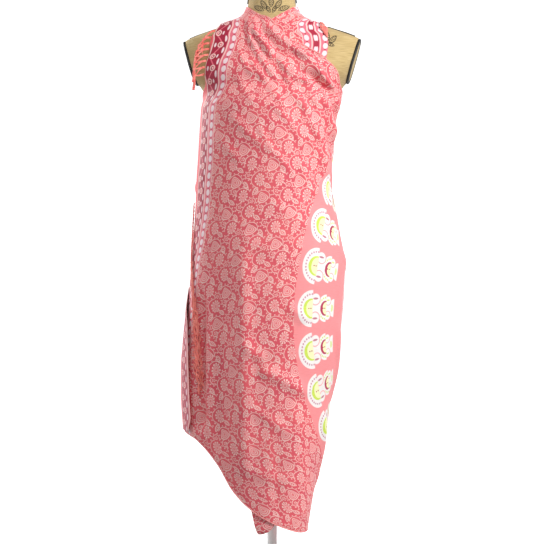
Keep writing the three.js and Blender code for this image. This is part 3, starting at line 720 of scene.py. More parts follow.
def leaf(x, y, half_length, half_width):
    """A leaf with an outline and slanted stripes, its length along x."""
    share = over(x, half_length)
    edge = times(calc("MULTIPLY_ADD", times(share, share), -1, 1), half_width)
    beside = absolute(y)
    outside = minus(beside, edge)
    stripes = repeat(minus(x, times(beside, 0.8)), 4.2)
    inside = both(near(stripes, 0, 0.85), under(outside, 0))
    here = under(absolute(share), 1, 0.02)
    return both(either(near(outside, 0, 0.75), inside), here)


def small_flower(x, y):
    radius = distance(x, y)
    petals = petal_ring(calc("ARCTAN2", y, x), radius, 5, 3.0)
    return either(under(petals, 1.15), under(radius, 0.8))


field_colour = (0.80, 0.105, 0.128)
plain_colour = (0.90, 0.270, 0.280)
line_colour = (0.95, 0.62, 0.57)
white_colour = (0.88, 0.82, 0.80)
bead_colour = (0.93, 0.72, 0.75)
burgundy = (0.40, 0.005, 0.036)
border_pink = (0.80, 0.155, 0.215)
lime = (0.58, 0.72, 0.075)
cream = (0.88, 0.90, 0.42)
crimson = (0.42, 0.012, 0.075)
dusky_rose = (0.52, 0.17, 0.26)


# Where the motifs lie, as shares of the two steps, with their turn in degrees
floret_places = [((0.00, 0.00), -6), ((0.30, 0.38), 8)]
bud_place = (0.74, 0.62)
leaf_places = [((0.68, 0.33), 62), ((0.35, 0.66), -30), ((0.68, 0.00), 118)]
small_places = [(0.01, 0.33), (0.01, 0.67), (0.35, 0.00)]
vine_places = [
    # centre; turn, radius, degrees of arc, berries on a whole turn
    ((0.00, 0.00), 120, 17.5, 170, 14), ((0.30, 0.38), 180, 17.5, 160, 14),
    ((0.74, 0.62), 75, 15.5, 170, 13), ((0.01, 0.33), 75, 7.5, 230, 8),
    ((0.01, 0.67), 210, 7.5, 210, 8), ((0.35, 0.00), 180, 7.5, 230, 8),
]


def field_print(spot, ground):
    (ax, ay), (bx, by) = repeat_down, repeat_across
    area = ax * by - ay * bx
    lattice = add("CombineXYZ", dot(spot, (by / area, -bx / area, 0)),
                  dot(spot, (-ay / area, ax / area, 0)), 0)
    lines, blush = bud(*motif_place(lattice, bud_place, 24))
    for centre, turn in floret_places:
        petals, heart = floret(*motif_place(lattice, centre, turn))
        lines, blush = either(lines, petals), either(blush, heart)
    for centre, turn, ring, sweep, buds in vine_places:
        lines = either(lines, vine(*motif_place(lattice, centre, turn), ring, sweep, buds))
    for centre, turn in leaf_places:
        lines = either(lines, leaf(*motif_place(lattice, centre, turn), 9.5, 3.8))
    for centre in small_places:
        lines = either(lines, small_flower(*motif_place(lattice, centre, 0)))
    colour = paint(ground, plain_colour, blush)
    return paint(colour, line_colour, lines)


def border_print(x, y, field):
    """The border's bands, from the field outwards; x is 0 on the row of beads and falls outwards."""
    colour = paint(field, border_pink, under(x, 9))
    colour = paint(colour, line_colour, near(x, 8.6, 0.9))
    bead_y = repeat(y, 18)
    beads = distance(over(x, 5.4), over(bead_y, 6.8))
    colour = paint(colour, bead_colour, under(beads, 1, 0.08))
    dots = distance(x, minus(repeat(y, 18, 9), 9))
    colour = paint(colour, line_colour, near(x, -11.0, 1.4))
    colour = paint(colour, burgundy, near(x, -29.5, 15.5))
    wave = times(calc("SINE", times(y, math.tau / 54)), 6.5)
    stem = plus(plus(x, 32), wave)
    colour = paint(colour, border_pink, near(stem, 0, 1.6))
    for middle, start in ((-36.0, 13.5), (-27.5, 40.5)):
        along = minus(repeat(y, 54, start), start)
        curl = distance(minus(x, middle), along)
        colour = paint(colour, line_colour, either(near(curl, 5.4, 1.2), under(curl, 1.9)))
    for middle, start, wide, tall in ((-18.0, 0.0, 2.6, 7.0), (-18.0, 27.0, 2.6, 7.0),
                                      (-39.5, 40.5, 2.4, 5.0), (-25.0, 13.5, 1.9, 4.2)):
        across = over(minus(x, middle), wide)
        along = over(minus(repeat(y, 54, start), start), tall)
        colour = paint(colour, bead_colour, under(distance(across, along), 1, 0.12))
    colour = paint(colour, line_colour, near(x, -46.0, 1.3))
    colour = paint(colour, field_colour, under(x, -48))
    return paint(colour, burgundy, under(dots, 1.9))


half_fans = [
    # middle; half height, depth; colours of the rim and the arc; the lobe's place, size and leaf
    (36, 29, 23, lime, crimson, 43, 16, 8, lime),
    (0, 39, 33, dusky_rose, lime, 9, 20, 10.5, crimson),
]


def fan_spray(u, v, colour):
    """One spray: three half discs, one behind the other, and round lobes with a leaf in each."""
    beside = absolute(v)

    def blob(middle_u, middle_v, size, stretch=1.0):
        away = over(minus(beside, middle_v), stretch)
        return over(distance(minus(u, middle_u), away), size)

    def half_disc(middle, half_height, depth):
        from_middle = minus(u, middle)
        deep = times(from_middle, half_height / depth)
        angle = calc("ARCTAN2", v, times(deep, -1))
        return distance(deep, v), angle, under(from_middle, 2)

    radius, _, half = half_disc(61, 19, 15)
    colour = paint(colour, white_colour, both(under(radius, 19), half))
    colour = paint(colour, lime, both(under(blob(55, 0, 5, 1.5), 1, 0.1), 0.7))
    for middle, half_height, depth, rim_colour, arc_colour, lobe_u, lobe_v, lobe_size, heart in half_fans:
        neck = both(near(u, lobe_u, lobe_size + 2), under(beside, lobe_v - 6))
        colour = paint(colour, white_colour, neck)
        lobe = blob(lobe_u, lobe_v, lobe_size, 1.1)
        colour = paint(colour, plain_colour, under(lobe, 1.16, 0.05))
        colour = paint(colour, white_colour, under(lobe, 1, 0.06))
        vein = under(blob(lobe_u, lobe_v + 1, lobe_size * 0.6, 0.36), 1, 0.15)
        colour = paint(colour, heart, both(vein, 0.8))
        radius, angle, half = half_disc(middle, half_height, depth)
        colour = paint(colour, plain_colour, both(under(radius, half_height + 1.3), half))
        colour = paint(colour, white_colour, both(under(radius, half_height), half))
        colour = paint(colour, cream, both(under(radius, half_height * 0.55), half, 0.8))
        ticks = petal_ring(angle, radius, round(half_height * 0.72), half_height * 0.78)
        colour = paint(colour, rim_colour, both(under(ticks, 2.2), half, 0.85))
        thick = calc("MULTIPLY_ADD", absolute(angle), -1.9, 4.4)
        from_arc = absolute(minus(radius, half_height * 0.50))
        on_arc = under(minus(from_arc, thick), 0)
        colour = paint(colour, arc_colour, both(on_arc, half))
        for along in (-7, -2):
            colour = paint(colour, crimson, under(blob(middle + along, 0, 1.5), 1, 0.25))
    return colour


def medallion_print(place, colour):
    """A round plain ground with 30 sprays of fans just inside its edge and a rosette in its middle."""
    sprays, ring = 30, fan_ring * 1000
    radius = add("VectorMath", place, operation="LENGTH").node.outputs["Value"]
    parts = add("SeparateXYZ", place).node.outputs
    angle = calc("ARCTAN2", parts["Y"], times(parts["X"], -1))
    turn = times(repeat(times(angle, sprays / math.tau), 1), math.tau / sprays)
    inward = minus(ring, times(radius, calc("COSINE", turn)))
    sideways = times(radius, calc("SINE", turn))
    colour = paint(colour, plain_colour, under(radius, ring + 40, 0.6))
    colour = fan_spray(inward, sideways, colour)
    for middle, reach, tint in ((318, 2.0, white_colour), (310, 1.2, crimson), (120, 3.0, white_colour),
                                (86, 5.0, lime), (60, 2.0, crimson)):
        colour = paint(colour, tint, near(radius, middle, reach))
    for count, circle, size, tint in (
            (36, 132, 8.5, white_colour), (36, 132, 3.0, crimson), (18, 72, 6.0, white_colour),
            (12, 30, 12.0, white_colour), (12, 30, 5.0, lime)):
        colour = paint(colour, tint, under(petal_ring(angle, radius, count, circle), size))
    return colour


sarong_print, given, result = new_group(
    "sarong_print", [("Print", "NodeSocketVector"), ("Medallion", "NodeSocketVector")],
    [("Color", "NodeSocketColor")])
tree = sarong_print
spot = move("MULTIPLY", given.outputs["Print"], (1000, 1000, 0))
wander = add("TexNoise", spot, None, 0.06, 2.0).node.outputs["Color"]
wander = move("MULTIPLY", move("SUBTRACT", wander, (0.5, 0.5, 0.5)), (5, 5, 0))
drawn = move("ADD", spot, wander)
patchy = noise(spot, 0.018, 2.0)
ground = paint(field_colour, (0.70, 0.070, 0.105), under(patchy, 0.5, 0.2))
print_colour = field_print(drawn, ground)
place = move("MULTIPLY", given.outputs["Medallion"], (1000, 1000, 0))
print_colour = medallion_print(place, print_colour)
sides = add("SeparateXYZ", spot).node.outputs
print_colour = border_print(sides["X"], sides["Y"], print_colour)
sarong_print.links.new(print_colour, result.inputs["Color"])

# Plain weave: fine crossing threads with slubs, for the cotton, its wrong side and the linen
plain_weave, given, result = new_group(
    "plain_weave", [("Vector", "NodeSocketVector"), ("Pitch", "NodeSocketFloat")],
    [("Height", "NodeSocketFloat"), ("Slub", "NodeSocketFloat")])
tree = plain_weave
in_threads = add("VectorMath", given.outputs["Vector"], None, None, operation="SCALE").node
plain_weave.links.new(over(math.tau * 1000, given.outputs["Pitch"]), in_threads.inputs["Scale"])
threads = add("SeparateXYZ", in_threads.outputs[0]).node.outputs
crossing = times(calc("SINE", threads["X"]), calc("SINE", threads["Y"]))
slub_place = move("MULTIPLY", given.outputs["Vector"], (60, 900, 60))
slub = noise(slub_place, 1.0, 2.0)
plain_weave.links.new(plus(times(crossing, 0.5), slub), result.inputs["Height"])
plain_weave.links.new(slub, result.inputs["Slub"])


def uv(name):
    return add("UVMap", uv_map=name)


def object_place():
    return add("TexCoord").node.outputs["Object"]


def feed(socket, value):
    tree.links.new(value, principled.inputs[socket])


def bumped(height, strength, depth):
    bump = tree.nodes.new("ShaderNodeBump")
    bump.inputs["Strength"].default_value = strength
    bump.inputs["Distance"].default_value = depth
    tree.links.new(height, bump.inputs["Height"])
    feed("Normal", bump.outputs["Normal"])


printed, tree, principled = new_material(
    "printed_cloth", Roughness=0.66, Sheen_Weight=0.08, Sheen_Roughness=0.4)
drawing = use_group(sarong_print, Print=uv("print"), Medallion=uv("medallion"))["Color"]
weave = use_group(plain_weave, Vector=uv("print"), Pitch=0.9)
slub_tint = ramp(weave["Slub"], 0.3, 0.7, 0.90, 1.04)
tinted = tree.nodes.new("ShaderNodeVectorMath")
tinted.operation = "SCALE"
tree.links.new(drawing, tinted.inputs[0])
tree.links.new(slub_tint, tinted.inputs["Scale"])
feed("Base Color", tinted.outputs[0])
crumple = noise(move("MULTIPLY", uv("print"), (45, 22, 1)), 1.0, 3.0)
relief = plus(times(weave["Height"], 0.06), crumple)
bumped(relief, 0.55, 0.0022)

# The outer end's own panel, with its shell and its places on the print
seam_angle = 89.92
border_curve, upper_curve, hem_curve = edge_curve(border_edge), edge_curve(upper_edge), edge_curve(front_hem)


def front_spots(u, v):
    return wrap_place(u, v, border_curve, lambda z: np.minimum(seam_angle, upper_curve(z)), hem_curve)


front_form, front_flat = grid_piece(140, 322, lambda u, v: draped_cloth(*front_spots(u, v)))
front_cloth = thin_shell(front_form, "front_cloth")
front_at = front_spots(*front_flat.T)
lay_print(front_cloth, print_place(*front_at), medallion_place(*front_at))
fit(front_cloth, printed, "printed_cloth", "front_wrap")

# The cloth's long edges are rolled and sewn with coral thread, which puckers them a little.
hem_radius = 0.0015
pucker_pitch = 0.006
rolled, tree, principled = new_material("rolled_hem", Roughness=0.75)
on_hem = object_place()
puckers = noise(on_hem, 1 / pucker_pitch, 1.0)
# The hem's coral is painted paler on the crests of its puckers, as a painted highlight.
pucker_highlight = ramp(puckers, 0.35, 0.65)
feed("Base Color", paint((0.86, 0.20, 0.20), (0.94, 0.46, 0.44), pucker_highlight))
bumped(puckers, 0.7, 0.0006)


def rolled_hem(name, points):
    return fit(link_mesh(cord_form(points, hem_radius), name), rolled, "printed_cloth")


along_hem = np.linspace(0.004, 0.996, 150)
hem_lift = cloth_thickness / 2
front_bottom = on_cloth(*front_spots(along_hem, 0 * along_hem), hem_lift)
front_top = on_cloth(*front_spots(1 + 0 * along_hem, mix(0.56, 0.998, along_hem)), hem_lift)
front_hems = [rolled_hem("front_hem", front_bottom), rolled_hem("front_neckline", front_top)]

# The linen of the form's cover: unbleached, slubbed, with dark leaf sprays printed on its neck and
# on its right shoulder, and black tape along the tops of the shoulders, drawn in its colour.
linen, tree, principled = new_material("form_linen", Roughness=0.9, Sheen_Weight=0.1)
on_body = object_place()
body = add("SeparateXYZ", on_body).node.outputs
round_body = times(calc("ARCTAN2", body["X"], times(body["Y"], -1)), 0.13)
threads = use_group(plain_weave, Vector=add("CombineXYZ", round_body, body["Z"], 0), Pitch=1.1)
aged = noise(on_body, 9.0, 3.0)
flax = paint((0.47, 0.325, 0.125), (0.66, 0.50, 0.24), ramp(threads["Slub"], 0.35, 0.65))
flax = paint(flax, (0.40, 0.27, 0.11), ramp(aged, 0.45, 0.75, 0, 0.5))
leaf_sprays = [
    # x, height in millimetres; turn in degrees, half length, half width
    (-24, 1450, 150, 13, 5.0), (-13, 1457, 122, 13, 5.0), (3, 1464, 90, 13, 5.2), (18, 1458, 60, 13, 5.0),
    (30, 1450, 28, 13, 5.0), (-3, 1447, 118, 9, 3.6), (10, 1447, 66, 9, 3.6), (112, 1380, 128, 12, 4.8),
    (124, 1385, 92, 13, 5.0), (136, 1379, 52, 12, 4.8), (118, 1368, 200, 9, 3.6), (131, 1368, 340, 9, 3.6),
]
ink = None
for x, z, turn, half_length, half_width in leaf_sprays:
    c, s = math.cos(math.radians(turn)), math.sin(math.radians(turn))
    away = move("SUBTRACT", move("MULTIPLY", on_body, (1000, 0, 1000)), (x, 0, z))
    one = leaf(dot(away, (c, 0, s)), dot(away, (-s, 0, c)), half_length, half_width)
    ink = one if ink is None else either(ink, one)
in_front = under(body["Y"], -0.02, 0.005)
flax = paint(flax, (0.022, 0.013, 0.009), both(ink, in_front))
above_arms = under(times(body["Z"], -1), -1.386, 0.001)
seam_tape = both(near(body["Y"], 0, 0.0055, 0.0004), above_arms)
flax = paint(flax, (0.005, 0.005, 0.005), seam_tape)
feed("Base Color", flax)
bumped(threads["Height"], 0.6, 0.0005)
torso_cover.data.materials.append(linen)

# The middle of the cloth: the stretch that lies round the back, from the right side to the left,
# with most of the printed medallion. It is one with the two ends on the real sarong.
chest_row = 1.270
back_hem = edge_curve([(90, 0.314), (135, 0.352), (180, 0.440), (225, 0.528), (270, 0.575)])
back_upper = edge_curve([(90, 1.270), (135, 1.264), (225, 1.258), (270, 1.262)])


def back_spots(u, v):
    hem_share = 0.32
    angle = mix(90.08, 269.92, u)
    low = mix(back_hem(angle), join_height, v / hem_share)
    level = np.where(v < hem_share, low, mix(join_height, chest_row, (v - hem_share) / (1 - hem_share)))
    z = level - (chest_row - back_upper(angle)) * smooth_step(1.130, chest_row, level)
    return np.radians(angle), z


back_form, back_flat = grid_piece(120, 180, lambda u, v: on_cloth(*back_spots(u, v), -layer_step * u))
back_cloth = thin_shell(back_form, "back_cloth")
back_at = back_spots(*back_flat.T)
lay_print(back_cloth, print_place(*back_at), medallion_place(*back_at))
fit(back_cloth, printed, "printed_cloth", "back_wrap")
back_bottom = on_cloth(*back_spots(along_hem, 0 * along_hem), hem_lift - layer_step * along_hem)
back_top = on_cloth(*back_spots(along_hem, 1 + 0 * along_hem), hem_lift - layer_step * along_hem)
back_hems = [rolled_hem("back_hem", back_bottom), rolled_hem("back_top_edge", back_top)]

# The inner end of the sarong: it comes from the left side, under the outer end, and shows as the
# right shoulder strap with its beaded border and as the corner that hangs below the hem.
inner_upper = edge_curve([
    (1.262, -90), (1.275, -66), (1.300, -45), (1.330, -32), (1.365, -17), (1.395, -8),
    (1.416, -3), (1.433, 16.5), (1.445, 38), (1.456, 61.5), (1.462, 100),
])
inner_short = edge_curve([
    (0.420, 17), (0.600, 22), (0.900, 28), (1.200, 33), (1.332, 37.5),
    (1.392, 39), (1.408, 50), (1.417, 66), (1.424, 88), (1.430, strap_end_angle),
])
inner_hem = edge_curve([
    (-90, 0.575), (-60, 0.548), (-40, 0.502), (-25, 0.440), (-17, 0.392), (-14, 0.336), (-11, 0.322),
    (9, 0.341), (17, 0.420),
])
deep_pleats = [(x, top, a, b, low, height * 1.3, width * 2.2)
               for x, top, a, b, low, height, width in front_pleats if height < 0]


def hidden_cloth(angle, z):
    point = smooth_cloth(angle, z)
    rise = sum(pleat_rise(pleat, point[..., 0], z) for pleat in deep_pleats)
    rise = rise * smooth_step(0.05, 0.3, np.abs(np.cos(angle))) - layer_step * layers_below(z)
    return point + normal_at(smooth_cloth, angle, z) * rise[..., None]


strap_pleat = 0.026
pleat_depth = 0.020
below_border = 0.080


def inner_spots(u, v):
    return wrap_place(u, v, lambda z: np.maximum(-seam_angle, inner_upper(z)), inner_short, inner_hem)


def inner_print(angle, z):
    """The print is mirrored about a line beside the strap's edge, as if it were pleated there."""
    inward = arc_at(np.radians(inner_short(z)), z) - arc_at(angle, z)
    inward = inward + below_border * (1 - smooth_step(0.45, 0.60, z))
    across = np.abs(inward - strap_pleat) - pleat_depth
    return np.stack([across, np.interp(z, arc_heights, bead_lengths)], axis=1)


inner_form, inner_flat = grid_piece(128, 220, lambda u, v: hidden_cloth(*inner_spots(u, v)))
inner_cloth = thin_shell(inner_form, "inner_cloth")
lay_print(inner_cloth, inner_print(*inner_spots(*inner_flat.T)))
fit(inner_cloth, printed, "printed_cloth", "inner_wrap")
inner_bottom = hidden_cloth(*inner_spots(along_hem, 0 * along_hem))
inner_hems = [rolled_hem("inner_corner_hem", inner_bottom)]

# The border strip that has folded back on itself like a lapel, low on the left. It shows the
# paler wrong side of the print, and its free edge stands a few millimetres off the cloth.
turned_width = edge_curve([
    (0.536, -62), (0.571, -58), (0.660, -59), (0.754, -64), (0.815, -76), (0.846, -88),
])
turned_low, turned_high, turned_fold = 0.536, 0.846, -93


def turned_spots(u, v):
    z = mix(turned_low, turned_high, v)
    return np.radians(mix(turned_fold, turned_width(z), u)), z


def turned_place(u, v):
    angle, z = turned_spots(u, v)
    lift = cloth_thickness + 0.0008 + 0.006 * u * u * (1 - smooth_step(0.8, 1, v))
    return on_cloth(angle, z, lift)


turned_form, turned_flat = grid_piece(40, 110, turned_place)
turned_cloth = thin_shell(turned_form, "turned_border")
reverse, tree, principled = new_material(
    "border_reverse", Roughness=0.75, Sheen_Weight=0.2, Sheen_Roughness=0.4)
drawing = use_group(sarong_print, Print=uv("print"), Medallion=uv("medallion"))["Color"]
feed("Base Color", paint(drawing, (0.93, 0.36, 0.42), 0.20))
weave = use_group(plain_weave, Vector=uv("print"), Pitch=0.9)
bumped(weave["Height"], 0.5, 0.0003)
turned_start = 0.0098
turned_angles, turned_heights = turned_spots(*turned_flat.T)
free_edge = np.radians(turned_width(turned_heights))
from_free_edge = arc_at(free_edge, turned_heights) - arc_at(turned_angles, turned_heights)
lay_print(turned_cloth, np.stack([-turned_start - from_free_edge, turned_heights], axis=1))
fit(turned_cloth, reverse, "border_reverse", "turned_edge")

# The fringe on the two short edges: coral cotton yarn, drawn through the cloth's edge and knotted
# by hand. It is an open net with loose tails at the shoulder, and knotted strands elsewhere.
yarn, tree, principled = new_material("fringe_yarn", Roughness=0.85, Sheen_Weight=0.3, Sheen_Roughness=0.5)
on_yarn = object_place()
uptake = noise(on_yarn, 90.0, 3.0)
dyed = paint((0.80, 0.125, 0.105), (0.96, 0.30, 0.24), ramp(uptake, 0.35, 0.68))
feed("Base Color", dyed)
plies = noise(move("MULTIPLY", on_yarn, (1400, 1400, 500)), 1.0, 2.0)
bumped(plies, 0.6, 0.0004)
yarn_radius = 0.0011
knot_radius = 0.0021


def yarn_net(name, node, strands, knots):
    curve = bpy.data.curves.new(name + "_path", "CURVE")
    curve.dimensions = "3D"
    curve.bevel_depth = yarn_radius
    curve.bevel_resolution = 1
    curve.resolution_u = 3
    curve.use_fill_caps = True
    for points in strands:
        spline = curve.splines.new("BEZIER")
        spline.bezier_points.add(len(points) - 1)
        for handle, point in zip(spline.bezier_points, points):
            handle.co = point
            handle.handle_left_type = handle.handle_right_type = "AUTO"
    path = bpy.data.objects.new(name + "_path", curve)
    net = bmesh.new()
    net.from_mesh(bpy.data.meshes.new_from_object(path))
    bpy.data.objects.remove(path)
    for knot in knots:
        at_knot = Matrix.Translation(Vector(knot))
        bmesh.ops.create_icosphere(net, subdivisions=1, radius=knot_radius, matrix=at_knot)
    fit(link_mesh(net, name), yarn, "fringe_yarn", node)


rng = np.random.default_rng(7)


def cloth_spots(rows):
    """Places for rows of (degrees, height, lift off the cloth)."""
    degrees, heights, lifts = np.array(rows, float).T
    return on_cloth(np.radians(degrees), heights, lifts)


def shoulder_fringe():
    strands, knots = [], []
    count, low, high = 8, 1.306, 1.400
    heights = np.linspace(low + 0.002, high - 0.002, count)
    roots = cloth_spots([(border_curve(z) - 0.7, z, cloth_thickness / 2) for z in heights])
    for i, (lower, upper) in enumerate(zip(roots, roots[1:])):
        reach = 0.021 + 0.008 * math.sin(math.pi * i / (count - 2))
        knot = (lower + upper) / 2 + np.array([-reach, -0.005, -0.012])
        knots.append(knot)
        for root in (lower, upper):
            for beside in (-0.0011, 0.0011):
                lead = root + np.array([-reach * 0.35, -0.003, beside - 0.002])
                strands.append([root + np.array([0, 0, beside]), lead, knot])
        for _ in range(4):
            sway, length = rng.uniform(-0.0025, 0.0015), rng.uniform(0.024, 0.031)
            middle = knot + np.array([sway, 0.0005, -length * 0.5])
            strands.append([knot, middle, knot + np.array([sway * 1.5 - 0.001, 0.0005, -length])])
    yarn_net("shoulder_fringe", "fringe_shoulder", strands, knots)


side_path = edge_curve([
    (0.600, -53.5), (0.640, -54), (0.740, -58), (0.840, -67), (0.950, -79), (1.038, -84),
])


side_strand = [
    # share of the length down, share of the lane out, lift, whether it splays with its pair
    (0, -0.45, 0.0009, 0), (0.14, 0.5, 0.0024, 0.7), (0.45, 1, 0.0026, 0), (0.75, 0.8, 0.0026, 0.7),
    (1, 1.1, 0.0022, 0.7),
]


def side_fringe():
    rows = []
    count, low, high, length = 44, 0.652, 1.036, 0.040
    lift = cloth_thickness + 0.0012
    for i in range(count):
        z = mix(low + 0.005, high - 0.004, i / (count - 1))
        lane = 1.3 * (1 + i % 3) + rng.uniform(-0.3, 0.3)
        for pair in (-0.5, 0.5):
            for down, out, rise, splay in side_strand:
                height = z - length * down
                drift = rng.uniform(-0.25, 0.25) + pair * splay
                rows.append((side_path(height) + out * lane + drift, height, lift + rise))
    strands = cloth_spots(rows).reshape(2 * count, len(side_strand), 3)
    yarn_net("side_fringe", "fringe_side", strands, strands[:, 2])


def strap_fringe():
    strands, knots = [], []
    count, low, high = 18, 1.402, 1.421
    for i in range(count):
        z = mix(low + 0.0015, high - 0.0015, i / (count - 1))
        root = math.radians(inner_short(z) + 3.4)
        root_x = float(form_side(z)) * math.sin(root)
        spots = [on_form(np.array([root]), np.array([z]), 0.0022)[0]]
        sway = rng.uniform(-0.0012, 0.0012)
        for down, sideways, lift in ((0.002, 0.0015, 0.0055), (0.007, 0.003, 0.0070),
                                     (0.014, 0.003, 0.0068), (0.022, 0.004, 0.0062)):
            x = root_x + sideways + sway
            height = z - down
            turn = math.asin(x / float(form_side(height)))
            spots.append(on_form(np.array([turn]), np.array([height]), lift)[0])
        strands.append(spots)
        knots.append(spots[2])
    yarn_net("strap_fringe", "fringe_strap", strands, knots)


shoulder_fringe()
side_fringe()
strap_fringe()

# The tie at the nape: both upper corners are gathered into bundles, brought round the neck and
# knotted once, and the two short ends hang down the back.
knot_z = 1.448
knot_half = np.array([0.025, 0.015, 0.020])
knot_y = float(form_back(knot_z)) + knot_half[1] + 0.0015


def lay_wrapped(piece, print_corner):
    """Lays the print on a closed bundle by its own height and its way round the neck."""
    spots = np.array([(corner.co.x + corner.co.y, corner.co.z) for corner in piece.data.vertices])
    lay_print(piece, spots + np.array(print_corner))


side_name = {-1: "left", 1: "right"}


def tie_band(side):
    def place(u, v):
        around = 2 * np.pi * u * side
        angle = side * mix(strap_end_angle + 1, 166, v)
        half_height = mix(0.0145, 0.009, smooth_step(0, 0.8, v))
        half_depth = mix(0.003, 0.007, smooth_step(0, 0.7, v))
        ridges = 1 - 0.10 * (0.5 + 0.5 * np.cos(7 * around + 2.5 * v))
        z = mix(1.4475, knot_z, v) + half_height * np.sin(around) * ridges
        lift = strap_lift + half_depth * (1 - side * np.cos(around) * ridges)
        return on_form(np.radians(angle), z, lift)

    form, _ = grid_piece(64, 60, place)
    close_tube(form)
    band = link_mesh(form, "gathered_band_" + side_name[side])
    lay_wrapped(band, (0.21, 0.16))
    fit(band, printed, "printed_cloth", "tie_band_" + side_name[side])


def tie_end(side):
    low = 1.296 if side < 0 else 1.310

    def place(u, v):
        z = mix(low, knot_z - 0.006, v)
        half_width = mix(11, 4, smooth_step(0.2, 1, v))
        middle = 180 - side * mix(14, 6, v)
        gathers = 0.0025 * (1 + np.sin(u * 4 * np.pi)) * (0.4 + 0.6 * (1 - v))
        near_knot = 0.005 * smooth_step(0.7, 1, v)
        return on_form(np.radians(middle + half_width * (2 * u - 1)), z, strap_lift + gathers + near_knot)

    form, flat = grid_piece(40, 60, place)
    end = thin_shell(form, "hanging_end_" + side_name[side])
    lay_print(end, flat * (0.06, 0.15) + (0.20, 0.30))
    fit(end, printed, "printed_cloth", "tie_end_" + side_name[side])


def nape_knot():
    form = bmesh.new()
    bmesh.ops.create_uvsphere(form, u_segments=64, v_segments=40, radius=1)
    for corner in form.verts:
        x, y, z = corner.co
        groove = 0.12 * math.exp(-(((x - 0.35 * z) / 0.16) ** 2))
        wound = 0.07 * math.cos(9 * (z + 0.5 * x)) * (1 - abs(z)) - groove
        scale = 0.93 + wound
        corner.co = (
            x * knot_half[0] * scale, y * knot_half[1] * scale + knot_y, z * knot_half[2] * scale + knot_z)
    knot = link_mesh(form, "knot_at_nape")
    lay_wrapped(knot, (0.225, 0.30))
    fit(knot, printed, "printed_cloth", "neck_knot")


nape_knot()
for side in (-1, 1):
    tie_band(side)
    tie_end(side)

# The form's trim: black cord piping sewn round the arm cuts and down the neck and shoulder seams,
# and linen-covered plates that close the arm cuts.
piping, tree, principled = new_material("black_piping", Roughness=0.6)
on_cord = object_place()
cord_threads = use_group(plain_weave, Vector=on_cord, Pitch=0.8)
rubbed = ramp(cord_threads["Slub"], 0.45, 0.75)
feed("Base Color", paint((0.004, 0.004, 0.004), (0.016, 0.014, 0.012), rubbed))
bumped(cord_threads["Height"], 0.5, 0.0003)
plate_inset = 0.007
plate_thickness = 0.005
arm_piping_radius = 0.003
seam_piping_radius = 0.0015
clear = 0.0003


def arm_outline(side, inset, out, count=72):
    """The outline of the slanted arm cut, drawn in by inset and moved out along the cut's normal."""
    rise = arm_cut_high.z - arm_cut_low.z
    slope = math.atan2(arm_cut_high.x - arm_cut_low.x, rise)
    heights = np.arange(arm_cut_low.z - 0.01, arm_cut_high.z + 0.01, 0.0005)
    cut_x = mix(arm_cut_low.x, arm_cut_high.x, (heights - arm_cut_low.z) / rise)
    heights = heights[cut_x < form_side(heights)]
    low, high = heights[0], heights[-1]
    turn = 2 * np.pi * np.arange(count) / count
    z = (low + high) / 2 - (high - low) / 2 * np.cos(turn)
    x = mix(arm_cut_low.x, arm_cut_high.x, (z - arm_cut_low.z) / rise)
    share = np.minimum(1, x / form_side(z))
    depth = np.where(np.sin(turn) > 0, -form_front(z), form_back(z)) * np.sqrt(1 - share ** 2)
    ring = np.stack([x, depth, z], axis=1)
    inward = ring - ring.mean(axis=0)
    ring -= inward / np.linalg.norm(inward, axis=1, keepdims=True) * inset
    ring += np.array([math.cos(slope), 0, -math.sin(slope)]) * out
    return ring * np.array([side, 1, 1])


def piping_tube(name, node, points, radius, closed=False):
    fit(link_mesh(cord_form(points, radius, closed), name), piping, "black_piping", node)


for side, name in side_name.items():
    plate = bmesh.new()
    bmesh.ops.create_circle(plate, segments=72, radius=1, cap_ends=True)
    plate.verts.ensure_lookup_table()
    for corner, spot in zip(plate.verts, arm_outline(side, plate_inset, clear)):
        corner.co = spot
    outward = Vector((arm_cut_high.z - arm_cut_low.z, 0, arm_cut_low.x - arm_cut_high.x)).normalized()
    outward.x *= side
    raised = bmesh.ops.extrude_face_region(plate, geom=plate.faces[:])
    moved = [part for part in raised["geom"] if isinstance(part, bmesh.types.BMVert)]
    bmesh.ops.translate(plate, verts=moved, vec=outward * plate_thickness)
    bmesh.ops.recalc_face_normals(plate, faces=plate.faces)
    rim = [edge for edge in plate.edges if edge.calc_face_angle(0) > 1 and edge.verts[0] in moved]
    bmesh.ops.bevel(plate, geom=rim, offset=0.0012, segments=3, profile=0.5, affect="EDGES", material=-1)
    arm_plate = link_mesh(plate, "arm_cover_" + name, smooth=False)
    fit(arm_plate, linen, "form_linen", "arm_plate_" + name)

    rim_points = arm_outline(side, arm_piping_radius + 0.0002, arm_piping_radius + clear)
    piping_tube("arm_cord_" + name, "piping_arm_" + name, rim_points, arm_piping_radius, True)
    for place, top, low in (("neck", 1.524, 1.470), ("shoulder", 1.415, 1.394)):
        heights = np.linspace(top, low, 24)
        seam = on_form(np.full(24, side * math.pi / 2), heights, seam_piping_radius + clear + 0 * heights)
        piping_tube(f"{place}_cord_{name}", f"piping_{place}_{name}", seam, seam_piping_radius)

# The turned wood: a low cap that closes the neck and the collar that the pole enters under the body.
wood, tree, principled = new_material("turned_wood", Coat_Weight=0.2, Coat_Roughness=0.3)
on_wood = object_place()
grain = noise(move("MULTIPLY", on_wood, (40, 320, 60)), 1.0, 4.0)
streaks = ramp(grain, 0.35, 0.65)
feed("Base Color", paint((0.045, 0.022, 0.010), (0.16, 0.082, 0.034), streaks))
feed("Roughness", ramp(grain, 0.3, 0.7, 0.38, 0.52))
bumped(grain, 0.3, 0.0003)


